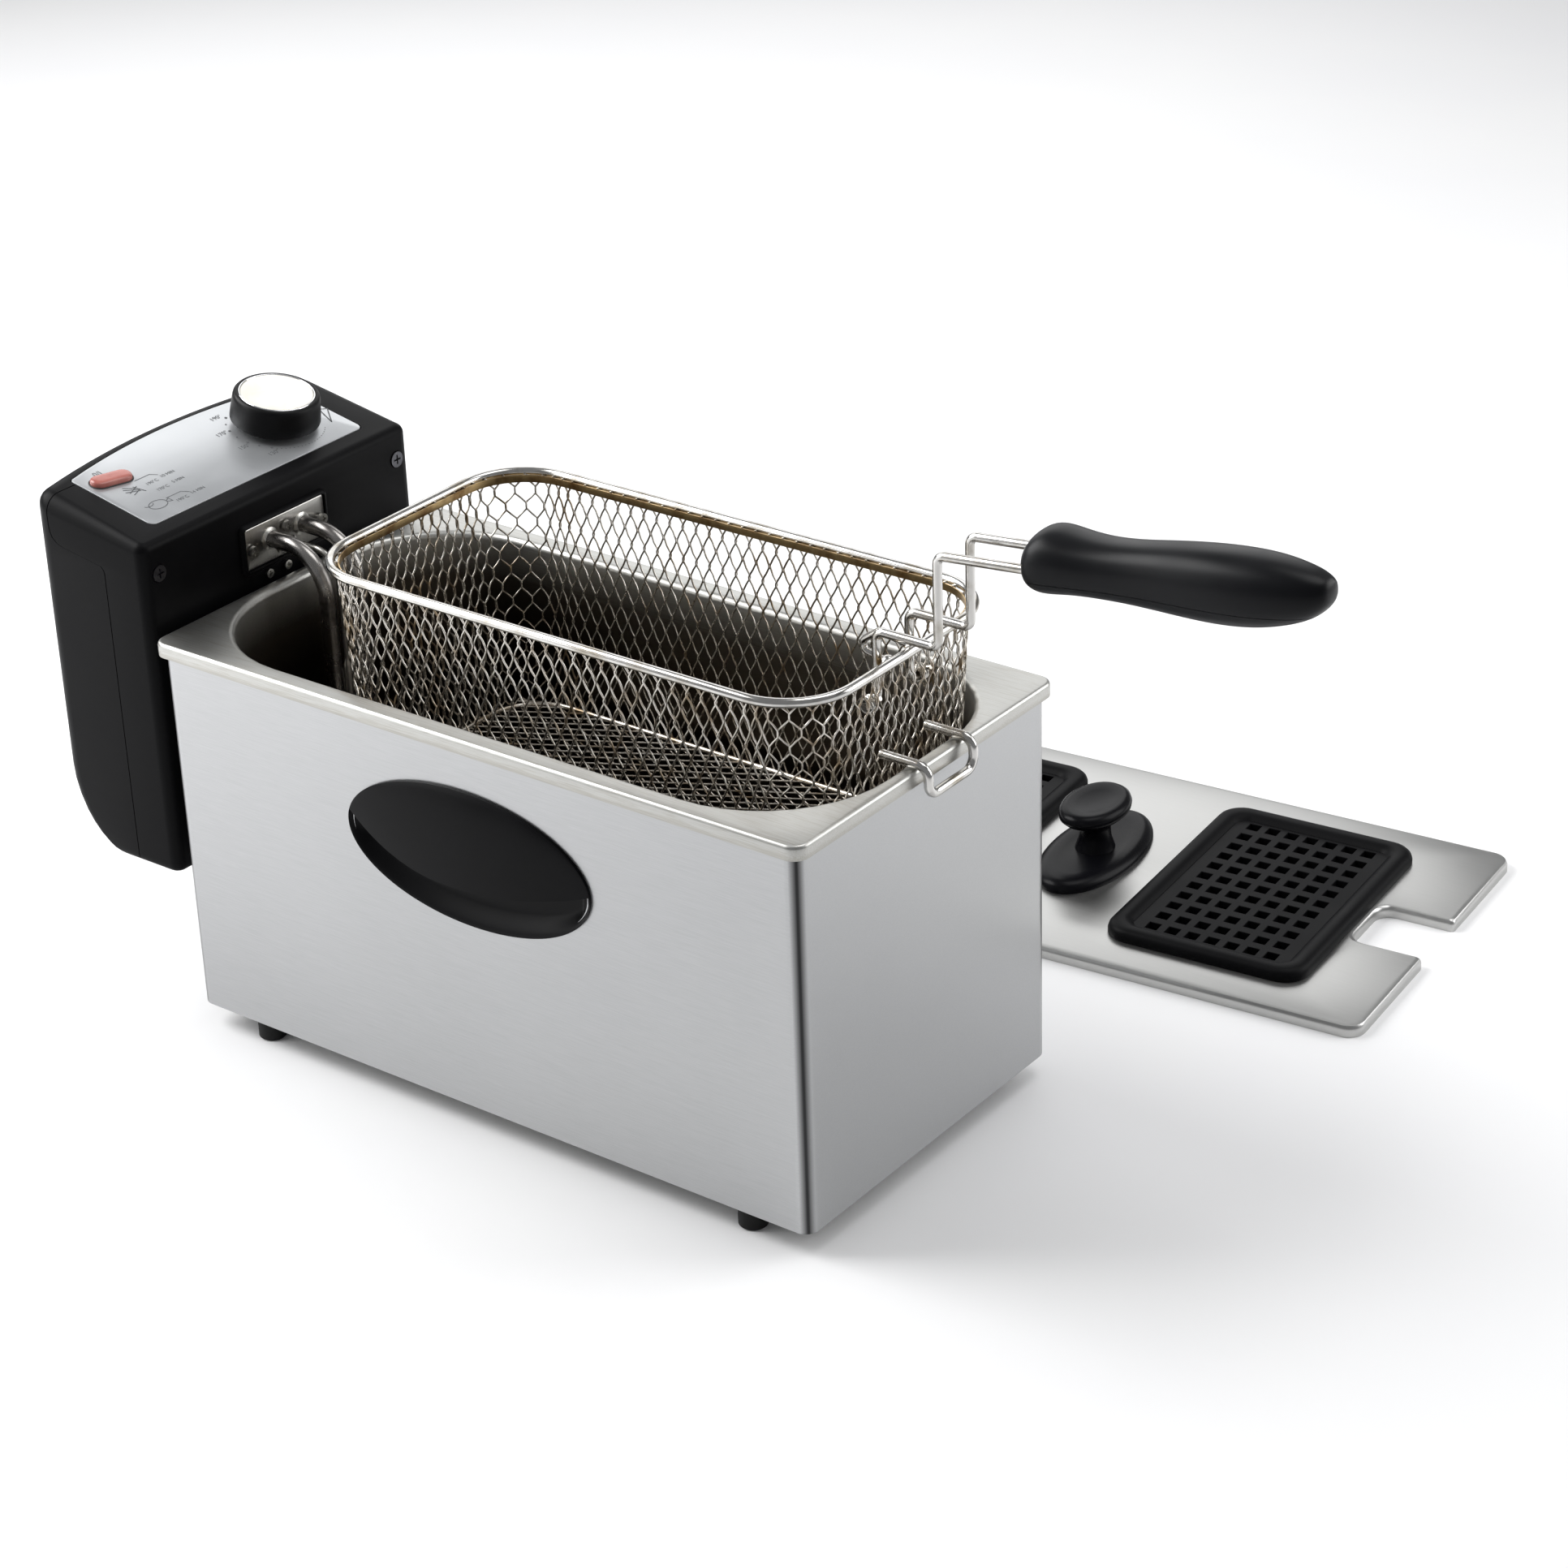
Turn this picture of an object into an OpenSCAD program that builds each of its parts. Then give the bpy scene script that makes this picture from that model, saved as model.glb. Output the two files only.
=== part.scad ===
// Deep fryer: a stainless housing with a drawn oil tank, a lift-off control head that carries the
// heating element, a hooked frying basket with a fold-in handle, and a loose lid lying beside it.
// Millimetres. +X runs to the basket handle, +Y across the housing, +Z up. The origin is the point on
// the table under the middle of the housing.

/* [Housing] */
// Length of the housing, without the control head
housing_l = 320; // [300:5:340]
// Width of the housing
housing_w = 164; // [160:1:176]
// Radius of the housing's vertical corners
housing_r = 6; // [4:1:8]
// Height of the feet
foot_h = 10; // [8:1:14]
// Diameter of a foot
foot_d = 12; // [11:1:14]
// Distance of a foot's centre from the housing's end
foot_inset_x = 33; // [25:1:40]
// Distance of a foot's centre from the housing's long side
foot_inset_y = 8; // [8:1:12]
// Thickness of the housing sheet
sheet = 0.8; // [0.6:0.1:1]

/* [Side handles] */
// Half length of the oval handle
oval_a = 61.6; // [55:0.2:64]
// Half height of the oval handle
oval_b = 29.4; // [24:0.2:31]
// Height of the oval's centre above the table
oval_z = 125.4; // [118:0.2:130]
// Depth of the finger recess below the housing's face
oval_depth = 5; // [3:0.5:5.5]
// Distance of the hood's lower edge below the oval's centre
hood_drop = 13; // [8:1:15]

/* [Tank] */
// Height of the tank's flange above the table
rim_z = 178; // [176:1:182]
// Overhang of the flange beyond the housing
overhang = 2.5; // [2:0.5:3]
// Height of the flange's down-turned skirt
skirt_h = 6; // [5:0.5:8]
// Length of the tank's opening
opening_l = 314; // [300:1:314]
// Width of the tank's opening
opening_w = 151; // [140:1:152]
// Corner radius of the tank's opening
opening_r = 54; // [40:1:58]
// How much smaller the tank's floor is than its opening, each side
tank_draft = 7; // [6:1:8]
// Height of the tank's floor above the table
tank_floor_z = 24; // [20:1:28]

/* [Control head] */
// Width of the control head
head_w = 160; // [154:1:164]
// Depth of the control head at its middle
head_d = 70; // [68:1:76]
// Height of the head's underside above the table
head_z = 67; // [62:1:70]
// Height of the head's sloped top at its front edge
head_top_z = 215.5; // [212:0.1:218]
// Rise of the top towards the back, per millimetre
top_slope = 0.2; // [0.18:0.01:0.21]
// Wall thickness of the plastic shells
shell_t = 2.5; // [2:0.1:2.6]

/* [Controls] */
// Distance of the knob's axis behind the head's front face
knob_back = 35.5; // [33:0.5:37]
// Distance of the knob's axis from the middle of the head
knob_side = 36; // [30:1:38]
// Radius of the knob at its foot
knob_r = 19.3; // [17:0.1:20]
// Height of the knob's top above the panel
knob_h = 15.5; // [13:0.5:18]
// Gap between the knob and the panel
knob_gap = 3; // [1:0.5:4]
// Length of the illuminated power button
button_l = 19; // [16:1:22]
// Width of the power button
button_w = 8; // [7:1:9]
// Turn of the power button on the panel, in degrees
button_turn = -13; // [-15:1:0]
// Travel of the power button
button_travel = 2; // [1.5:0.5:2]

/* [Heating] */
// Diameter of the tubular heating element
tube_d = 7; // [6:0.5:8]
// Distance of each element leg from the middle
leg_y = 9.5; // [9:0.5:10]
// Height at which the legs leave the head
leg_z = 195; // [194:0.5:196]
// Height of the element's heated loops
loop_z = 36; // [34:1:40]

/* [Basket] */
// Length of the basket over its rim
basket_l = 252; // [240:1:252]
// Width of the basket over its rim
basket_w = 131; // [120:1:132]
// Depth of the basket below its rim
basket_h = 105; // [90:1:110]
// Diameter of the rim wire
rim_wire = 3.8; // [3.4:0.1:4.2]
// Place along the tank of the hooked basket's middle
basket_x = 24; // [22:1:25]
// Place across the tank of the hooked basket's middle
basket_y = 5.5; // [0:0.5:6]
// Height of the hooked basket's rim
basket_rim_z = 216.5; // [214:0.5:218]
// How much smaller the basket's floor is than its rim, each side
basket_draft = 5; // [3:1:8]

/* [Basket handle] */
// Diameter of the handle wires
handle_wire = 3.7; // [3.4:0.1:4]
// Distance between the two handle wires
wire_gap = 21; // [20:0.5:22]
// Length of the grip
grip_l = 122; // [120:1:124]
// Greatest width of the grip
grip_w = 29; // [27:1:31]

/* [Lid] */
// Length of the lid
lid_l = 328; // [326:1:332]
// Width of the lid
lid_w = 172; // [171:1:180]
// Height of the lid's skirt
lid_h = 5.5; // [5:0.5:8]
// Place of the lid's middle on the table, along the housing
lid_x = 82; // [60:1:90]
// Place of the lid's middle on the table, across the housing
lid_y = 242.5; // [225:0.5:250]
// Turn of the lid on the table, in degrees
lid_turn = 5.5; // [0:0.5:8]
// Width of the notch for the basket handle
notch_w = 34.5; // [32:0.5:38]
// Length of the notch
notch_l = 34; // [30:1:36]

/* [Hidden] */
$fn = 64;

tiny = 0.01;
big = 400;
// A bend is drawn this much thinner than its straight wire, which laps over the bend's ends
elbow_less = 0.06;
elbow_lap = 0.3;
black = [0.09, 0.09, 0.1];
steel = [0.78, 0.78, 0.77];
chrome = [0.85, 0.85, 0.87];

// Housing and tank
wall_in_l = housing_l - 2 * sheet;
wall_in_w = housing_w - 2 * sheet;
flange_t = 1;
flange_l = housing_l + 2 * overhang;
flange_w = housing_w + 2 * overhang;
flange_r = housing_r + overhang;
plate_t = 1;
foot_x = housing_l / 2 - foot_inset_x;
foot_y = housing_w / 2 - foot_inset_y;
foot_places = [[-foot_x, -foot_y], [foot_x, -foot_y], [foot_x, foot_y], [-foot_x, foot_y]];
screw_d = 3;
screw_hole = 3.2;

// Control head
gap = 4.5;
head_front = -housing_l / 2 - overhang - gap;
head_back = head_front - head_d;
head_bow_r = 360;
head_corner = 8;
head_bottom_r = 36;
part_x = head_front - 23;
part_step_z = 200;
rear_lip = 3;
tilt = atan(top_slope);
panel_t = 0.8;
panel_bow_r = 300;
panel_w = 126;
panel_front = head_front - 10;
panel_back = head_front - 62.8;
knob_x = head_front - knob_back;
button_x = head_front - 45.5;
button_y = -50.5;
shell_screw_places = [[-71.5, 202], [71.5, 202], [-60, 80], [60, 80]];
rail_w = 24;
rail_head_w = 36;
rail_top = 160;
rail_bottom = 80;
rail_neck = 3.1;

// Heating element
frame_w = 51.4;
frame_h = 22.4;
frame_z = 182.8;
plate_places = [[-20.7, 193.2], [20.7, 193.2], [0, 197.5]];
bulb_screw_places = [[-11, 179.6], [0, 179.6]];
leg_x = -housing_l / 2 + 24.5;
loop_end = housing_l / 2 - 48;
loop_start = -housing_l / 2 + 52;
probe_x = leg_x - 4.5;
probe_y = 3;
probe_z = 189;

// Basket and handle
mesh_t = 1.2;
basket_end = basket_x + basket_l / 2;
basket_mesh_top = basket_rim_z - rim_wire / 2;
basket_floor_z = basket_rim_z - basket_h;
hook_wire = 4;
hook_w = 29.4;
hook_x = housing_l / 2 + 7;
hook_z = rim_z + hook_wire / 2 + 0.2;
hook_drop = 12;
pivot_x = basket_end - 8.5;
pivot_z = basket_rim_z - 16.5;
handle_low = basket_rim_z + 11.5;
handle_high = basket_rim_z + 48.2;
step_x = basket_end + 19.3;
grip_x = basket_end + 54.7;
grip_rise = 5.5;
grip_seam = -4;
grip_screw_x = 72;
wire_in_grip = 26;
eyelet_d = 6;
eyelet_w = 4;
eyelet_out = 5.8;

// Lid
lid_corner = 8;
grille_l = 94;
grille_w = 132.5;
grille_u = 81;
grille_proud = 5;
hole_rows = 7;
hole_columns = 11;
hole = 5.2;
hole_pitch_u = 9.2;
hole_pitch_v = 10.2;
knob_base_a = 21;
knob_base_b = 41;
lid_knob_u = -1.2;
lid_knob_h = 23;

function unit(v) = v / norm(v);
function turn(p, i) = acos(max(-1, min(1, unit(p[i] - p[i - 1]) * unit(p[i + 1] - p[i]))));
function trim(p, i, bend) = (i == 0 || i == len(p) - 1) ? 0 : bend * tan(turn(p, i) / 2);
function ellipse(a, b) = [for (i = [0:95]) [a * cos(i * 3.75), b * sin(i * 3.75)]];
function arc(cx, cy, r, from, to, steps) =
    [for (i = [0:steps]) let (t = from + (to - from) * i / steps) [cx + r * cos(t), cy + r * sin(t)]];
function top_z(x) = head_top_z + top_slope * (head_front - x);

// A rectangle with round corners, its middle at the origin
module rounded_rect(l, w, r) {
    square([l - 2 * r, w], center = true);
    square([l, w - 2 * r], center = true);
    for (x = [-1, 1], y = [-1, 1])
        translate([x * (l / 2 - r), y * (w / 2 - r)]) circle(r);
}

// A flat bar with round ends, its length along Y
module stadium(l, w) {
    square([w, l - w], center = true);
    for (s = [-1, 1]) translate([0, s * (l - w) / 2]) circle(d = w);
}

// Stands its children on point a with their +Z towards point b
module along(a, b) {
    z = unit(b - a);
    x = abs(z.z) < 0.9 ? unit(cross([0, 0, 1], z)) : unit(cross([0, 1, 0], z));
    y = cross(z, x);
    multmatrix([[x.x, y.x, z.x, a.x], [x.y, y.y, z.y, a.y], [x.z, y.z, z.z, a.z]]) children();
}

// The bend of a round wire at point b, between straight runs from a and to c
module elbow(a, b, c, d, bend) {
    u = unit(b - a);
    v = unit(c - b);
    angle = acos(max(-1, min(1, u * v)));
    n = unit(v - (v * u) * u);
    w = cross(u, n);
    o = b - u * bend * tan(angle / 2) + n * bend;
    multmatrix([[-n.x, u.x, w.x, o.x], [-n.y, u.y, w.y, o.y], [-n.z, u.z, w.z, o.z]])
        rotate_extrude(angle = angle) translate([bend, 0]) circle(d = d - elbow_less);
}

// A round wire along the points p, bent with the radius bend at each inner point
module wire(p, d, bend) {
    last = len(p) - 1;
    for (i = [0:last - 1]) {
        u = unit(p[i + 1] - p[i]);
        a = p[i] + u * (trim(p, i, bend) - (i == 0 ? 0 : elbow_lap));
        b = p[i + 1] - u * (trim(p, i + 1, bend) - (i + 1 == last ? 0 : elbow_lap));
        along(a, b) cylinder(d = d, h = norm(b - a), $fn = 32);
    }
    for (i = [1:last - 1]) elbow(p[i - 1], p[i], p[i + 1], d, bend, $fn = 32);
}

// A cross-recessed screw, its head's top at the origin, pointing down
module screw(d, head_d, head_h, length) {
    difference() {
        translate([0, 0, -head_h]) cylinder(d = head_d, h = head_h);
        for (a = [0, 90]) rotate(a) translate([0, 0, -head_h / 4])
            cube([head_d * 0.6, 0.8, head_h], center = true);
    }
    translate([0, 0, -head_h - length]) cylinder(d = d, h = length);
}

// ---- Base: housing, floor, feet, side handles and the rail that carries the head

module housing() {
    color(steel) difference() {
        translate([0, 0, foot_h]) linear_extrude(rim_z - flange_t - foot_h) difference() {
            rounded_rect(housing_l, housing_w, housing_r);
            rounded_rect(wall_in_l, wall_in_w, housing_r - sheet);
        }
        translate([0, big / 2, oval_z]) rotate([90, 0, 0]) linear_extrude(big)
            polygon(ellipse(oval_a - 2, oval_b - 2));
        rail_screw_places() cylinder(d = screw_hole, h = 4, center = true);
    }
}

module base_plate() {
    color("dimgray") difference() {
        union() {
            translate([0, 0, foot_h]) linear_extrude(plate_t)
                rounded_rect(wall_in_l, wall_in_w, housing_r - sheet);
            translate([0, 0, foot_h]) linear_extrude(8) difference() {
                rounded_rect(wall_in_l, wall_in_w, housing_r - sheet);
                rounded_rect(wall_in_l - 2, wall_in_w - 2, housing_r - sheet - 1);
            }
        }
        for (p = foot_places) translate([p.x, p.y, 0]) cylinder(d = screw_hole, h = big / 10);
        for (x = [-60:20:60], s = [-1, 1]) translate([x, s * 30, foot_h - 1])
            linear_extrude(4) stadium(30, 5);
    }
}

module foot(i) {
    p = foot_places[i];
    color(black) translate([p.x, p.y, 0]) difference() {
        union() {
            cylinder(d1 = foot_d - 1.5, d2 = foot_d, h = 0.8);
            translate([0, 0, 0.8]) cylinder(d = foot_d, h = foot_h - 0.8);
        }
        translate([0, 0, -1]) cylinder(d = 6.4, h = 5);
        cylinder(d = screw_hole, h = foot_h + 1);
    }
}

module foot_screws() {
    color(steel) for (p = foot_places) translate([p.x, p.y, 2]) mirror([0, 0, 1])
        screw(screw_d, 5.8, 2, foot_h + 2);
}

// An oval plastic handle let into the long side: a bulged hood over a crescent-shaped finger recess
module side_handle() {
    lip_proud = 1.2;
    recess_floor = oval_depth - 1.2;
    translate([0, -housing_w / 2, oval_z]) rotate([90, 0, 0]) difference() {
        union() {
            linear_extrude(lip_proud) polygon(ellipse(oval_a, oval_b));
            translate([0, 0, -oval_depth]) linear_extrude(oval_depth)
                polygon(ellipse(oval_a - 2.2, oval_b - 2.2));
            linear_extrude(lip_proud + 1.6) intersection() {
                polygon(ellipse(oval_a - 3, oval_b - 3));
                hood_edge();
            }
            linear_extrude(lip_proud + 3) intersection() {
                polygon(ellipse(oval_a - 10, oval_b - 6));
                hood_edge();
            }
        }
        translate([0, 0, -recess_floor]) linear_extrude(recess_floor + 5) difference() {
            polygon(ellipse(oval_a - 4, oval_b - 3.6));
            hood_edge();
        }
    }
}

// The area over the finger recess, bounded by the hood's curved lower edge
module hood_edge() {
    hood_r = 122;
    translate([0, hood_r - hood_drop]) circle(hood_r, $fn = 240);
}
module side_handle_front() { color(black) side_handle(); }
module side_handle_rear() { color(black) rotate(180) side_handle(); }

// Places its children on the rail's screws, +Z pointing away from the housing
module rail_screw_places() {
    for (y = [-1, 1], z = [100, 148])
        translate([-housing_l / 2, y * 24, z]) rotate([0, -90, 0]) children();
}

module guide_rail() {
    base_t = 1.5;
    color(steel) difference() {
        union() {
            translate([-housing_l / 2 - base_t, -30, rail_bottom + 10])
                cube([base_t, 60, rail_top - rail_bottom - 12]);
            translate([head_front - rail_neck, -rail_w / 2, rail_bottom])
                cube([-housing_l / 2 - head_front + rail_neck, rail_w, rail_top - rail_bottom]);
            translate([head_front - rail_neck - 2, -rail_head_w / 2, rail_bottom])
                cube([2, rail_head_w, rail_top - rail_bottom]);
        }
        rail_screw_places() cylinder(d = screw_hole, h = 4, center = true);
    }
}

module guide_rail_screws() {
    color(steel) rail_screw_places() translate([0, 0, 3.5]) screw(screw_d, 6, 2, 3);
}

// The drawn tank: its flange lies on the housing and its skirt hangs outside it
module tank() {
    color(steel) {
        difference() {
            union() {
                translate([0, 0, rim_z - flange_t]) linear_extrude(flange_t)
                    rounded_rect(flange_l, flange_w, flange_r);
                translate([0, 0, rim_z - skirt_h]) linear_extrude(skirt_h) difference() {
                    rounded_rect(flange_l, flange_w, flange_r);
                    rounded_rect(flange_l - 2 * flange_t, flange_w - 2 * flange_t, flange_r - flange_t);
                }
                basin(1, tank_floor_z, rim_z - tiny);
            }
            basin(0, tank_floor_z + flange_t, rim_z + 1);
        }
    }
}

// The space inside the drafted basin, grown by t on every wall
module basin(t, low, high) {
    hull() {
        translate([0, 0, low]) linear_extrude(tiny)
            rounded_rect(opening_l - 2 * tank_draft + 2 * t, opening_w - 2 * tank_draft + 2 * t,
                opening_r - tank_draft + t);
        translate([0, 0, high - tiny]) linear_extrude(tiny)
            rounded_rect(opening_l + 2 * t, opening_w + 2 * t, opening_r + t);
    }
}

// ---- Control head

// The head's outline seen from above, with a bowed back
module head_plan() {
    offset(r = head_corner) offset(delta = -head_corner) intersection() {
        translate([head_back + head_bow_r, 0]) circle(head_bow_r, $fn = 240);
        translate([head_back - 5, -head_w / 2]) square([head_d + 5, head_w]);
    }
}

// The head's outline seen from the side, shrunk by t
module head_side(t) {
    polygon(concat([[head_front - t, head_z + t]],
        [[head_front - t, top_z(head_front - t) - t / cos(tilt)],
         [head_back + t, top_z(head_back + t) - t / cos(tilt)]],
        arc(head_back + head_bottom_r, head_z + head_bottom_r, head_bottom_r - t, 180, 270, 16)));
}

module head_solid(t) {
    intersection() {
        linear_extrude(big) offset(delta = -t) head_plan();
        translate([0, big / 2, 0]) rotate([90, 0, 0]) linear_extrude(big) head_side(t);
    }
}

// The part of space that belongs to the front shell
module front_zone() {
    translate([0, big / 2, 0]) rotate([90, 0, 0]) linear_extrude(big) polygon([
        [0, 0], [part_x, 0], [part_x, part_step_z], [part_x - 1.5, part_step_z + 2.3],
        [part_x - 27, part_step_z + 6], [part_x - 29.5, part_step_z + 8.5], [part_x - 30.5, part_step_z + 13],
        [part_x - 30, big], [0, big]]);
    translate([0, 0, part_step_z + 13]) linear_extrude(big) offset(delta = -rear_lip) head_plan();
}

// Places its children on the sloped top over the plan point x, y, with +Z along the top's normal
module on_top(x, y) {
    translate([x, y, top_z(x)]) rotate([0, tilt, 0]) children();
}

// The outline of the metal panel seen from above, grown by t
module panel_plan(t) {
    offset(delta = t) intersection() {
        translate([panel_back + panel_bow_r, 0]) circle(panel_bow_r, $fn = 240);
        translate([panel_front - 80, -panel_w / 2]) square([80, panel_w]);
    }
}

// Space between two planes parallel to the sloped top
module top_slab(low, high) {
    on_top(head_front, 0) translate([-big / 2, -big / 2, low]) cube([big, big, high - low]);
}

// Places its children on the panel at the power button, turned with it
module on_button() {
    on_top(button_x, button_y) rotate(button_turn) children();
}

module button_hole() {
    on_button() translate([0, 0, -10]) linear_extrude(20) stadium(button_l + 0.6, button_w + 0.6);
}

// Places its children on the head's front face, +Z pointing out to the tank
module on_front(places, depth) {
    for (p = places) translate([head_front - depth, p.x, p.y]) rotate([0, 90, 0]) children();
}

module element_frame(grow, from, thick) {
    translate([head_front + from, -frame_w / 2 + grow, frame_z + grow])
        cube([thick, frame_w - 2 * grow, frame_h - 2 * grow]);
}

module head_front_shell() {
    color(black) difference() {
        union() {
            intersection() {
                difference() { head_solid(0); head_solid(shell_t); }
                front_zone();
            }
            element_frame(0, -tiny, 2.2);
        }
        intersection() { linear_extrude(big) panel_plan(0.15); top_slab(-panel_t, 10); }
        on_top(knob_x, knob_side) cylinder(d = 8, h = 20, center = true);
        button_hole();
        on_front(shell_screw_places, 1.2) cylinder(d = 7.6, h = 5);
        on_front(shell_screw_places, 5) cylinder(d = screw_hole, h = 10);
        on_front(plate_places, 6) cylinder(d = screw_d, h = 10);
        on_front(bulb_screw_places, 5) cylinder(d = 2.5, h = 10);
        element_frame(1.9, 0.7, 5);
        translate([head_front - 5, -16, 187.5]) cube([10, 32, 12]);
        translate([head_front - 5, -rail_w / 2 - 1, head_z - 1])
            cube([10, rail_w + 2, rail_top + 0.3 - head_z + 1]);
        translate([head_front - 6.5, -rail_head_w / 2 - 1.5, head_z - 1])
            cube([10, rail_head_w + 3, shell_t + 1]);
    }
}

module head_rear_shell() {
    gland_hole = 8;
    color(black) difference() {
        union() {
            difference() {
                head_solid(0);
                head_solid(shell_t);
                front_zone();
            }
            intersection() {
                head_solid(shell_t);
                for (p = shell_screw_places) translate([head_back, p.x, p.y]) rotate([0, 90, 0])
                    cylinder(d = 6, h = head_d - shell_t - 1);
            }
        }
        for (p = shell_screw_places) translate([head_front - 22, p.x, p.y]) rotate([0, 90, 0])
            cylinder(d = screw_d, h = 22);
        cord_place() cylinder(d = gland_hole, h = 20, center = true);
        for (i = [-3:3]) translate([head_back, i * 8, 150]) rotate([0, 90, 0])
            linear_extrude(12) stadium_upright(3, 24);
    }
}

// A ventilation slot: w wide across Y and h tall once stood on the back wall
module stadium_upright(w, h) {
    rotate(90) stadium(h, w);
}

module shell_screws() {
    color([0.25, 0.25, 0.26]) on_front(shell_screw_places, -0.5) screw(screw_d, 7, 1.7, 16);
}

module top_panel() {
    color([0.8, 0.82, 0.84]) difference() {
        intersection() { linear_extrude(big) panel_plan(0); top_slab(-panel_t, 0); }
        on_top(knob_x, knob_side) cylinder(d = 8, h = 20, center = true);
        button_hole();
    }
}

// The holes for the element's legs and for the two sensor tubes
module tube_holes(leg_d, sensor_d) {
    for (s = [-1, 1]) {
        translate([head_front - 10, s * leg_y, leg_z]) rotate([0, 90, 0]) cylinder(d = leg_d, h = 20);
        translate([head_front - 10, s * probe_y, probe_z]) rotate([0, 90, 0]) cylinder(d = sensor_d, h = 20);
    }
}

module element_plate() {
    color(steel) difference() {
        element_frame(2, 0.7, 1.4);
        tube_holes(tube_d, 3);
        on_front(plate_places, 6) cylinder(d = screw_d, h = 12);
    }
}

module element_plate_screws() {
    color(chrome) {
        on_front(plate_places, -3.6) screw(2.9, 5, 1.5, 5);
        on_front(bulb_screw_places, -1.4) screw(2.4, 4, 1.4, 4);
    }
}

// The element: out of the head, down the tank's end and round its floor
module heating_element() {
    color([0.45, 0.45, 0.46]) {
        for (s = [-1, 1]) wire([[head_front - 10, s * leg_y, leg_z], [leg_x, s * leg_y, leg_z],
            [leg_x, s * leg_y, loop_z + 30]], tube_d, 20);
        wire(concat([[leg_x, -leg_y, loop_z + 30], [leg_x, -leg_y, loop_z]], element_loops(-1),
            [for (i = [4:-1:0]) mirror_y(element_loops(-1)[i])],
            [[leg_x, leg_y, loop_z], [leg_x, leg_y, loop_z + 30]]), tube_d, 10);
    }
}
function mirror_y(p) = [p.x, -p.y, p.z];
function element_loops(s) = [[loop_start, s * leg_y, loop_z], [loop_start, s * 53, loop_z],
    [loop_end, s * 53, loop_z], [loop_end, s * 25, loop_z], [loop_start + 38, s * 25, loop_z]];

module element_terminals() {
    color(steel) for (s = [-1, 1]) translate([head_front - 10, s * leg_y, leg_z]) rotate([0, -90, 0]) {
        cylinder(d = 3, h = 6);
        translate([-3, -0.4, 6]) cube([6, 0.8, 8]);
    }
}

module heat_shield() {
    color(steel) difference() {
        translate([head_front - 7, -45, 178]) cube([0.8, 90, 32]);
        tube_holes(tube_d + 1, 4);
    }
}

// A clip plate that ties the element legs and the two sensor bulbs together
module probe_bracket() {
    color(steel) difference() {
        translate([leg_x - 9, -15, 100]) cube([15, 30, 1.2]);
        for (s = [-1, 1]) {
            translate([leg_x, s * leg_y, 90]) cylinder(d = tube_d, h = 20);
            translate([probe_x, s * probe_y, 90]) cylinder(d = 5, h = 20);
        }
    }
}

module probe(s) {
    y = s * probe_y;
    wire([[head_front - 18, y, probe_z], [probe_x, y, probe_z], [probe_x, y, 140]], 3, 12);
    translate([probe_x, s * probe_y, 60]) cylinder(d = 5, h = 80);
}
module thermostat_probe() { color(chrome) probe(-1); }
module cutout_probe() { color(chrome) probe(1); }

module thermostat_body() {
    color([0.85, 0.83, 0.75]) on_top(knob_x, knob_side) difference() {
        union() {
            translate([-15, -15, -26.5]) cube([30, 30, 20]);
            translate([0, 0, -6.5]) cylinder(d = 10, h = 6.5 - shell_t);
        }
        translate([0, 0, -16]) cylinder(d = 6.1, h = 20);
    }
}

module thermal_cutout() {
    color([0.75, 0.7, 0.6]) translate([head_front - 30, -8, 182]) {
        rotate([0, 90, 0]) cylinder(d = 14, h = 11);
        translate([-4, -9, -9]) cube([4, 18, 18]);
    }
}

// The interlock that stops the heating when the head is off its rail
module lid_off_switch() {
    color([0.2, 0.2, 0.22]) {
        translate([head_front - 12, -9, rail_top + 3]) cube([9, 18, 12]);
        translate([head_front - 4, 0, rail_top + 0.4]) cylinder(d = 2.4, h = 2.6);
    }
}

module power_switch() {
    color([0.2, 0.2, 0.22]) on_button() translate([-6, -12, -25]) cube([12, 24, 16.5]);
}

module terminal_block() {
    color([0.85, 0.85, 0.8]) difference() {
        translate([head_front - 46, -40, 90]) cube([12, 36, 14]);
        for (y = [-34, -22, -10]) translate([head_front - 40, y, 96]) cylinder(d = 4, h = 10);
    }
}

module internal_leads() {
    lead = 2.4;
    x = head_front - 40;
    color([0.55, 0.1, 0.08]) {
        wire([[x, -34, 96], [x, -34, 150], [button_x, button_y, 175], [button_x, button_y, 197]], lead, 8);
        wire([[x, -22, 96], [x, -22, 140], [x, 20, 160], [knob_x - 4, knob_side, 180],
            [knob_x - 4, knob_side, 193]], lead, 8);
        wire([[x, -10, 96], [x, -10, 130], [x + 12, -18, 150], [x + 12, -18, 165]], lead, 8);
    }
}

// Places its children on the underside of the head where the supply cord goes in
module cord_place() {
    translate([head_front - 30, 42, head_z]) children();
}

module cord_gland() {
    color(black) cord_place() difference() {
        union() {
            translate([0, 0, -2.5]) cylinder(d = 12, h = 2.5);
            cylinder(d = 8, h = shell_t);
            translate([0, 0, shell_t]) cylinder(d = 11, h = 3);
        }
        cylinder(d = 6, h = 30, center = true);
    }
}

// ---- Controls that move

module thermostat_shaft() {
    color(steel) on_top(knob_x, knob_side) translate([0, 0, -15]) cylinder(d = 6, h = 25);
}

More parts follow.
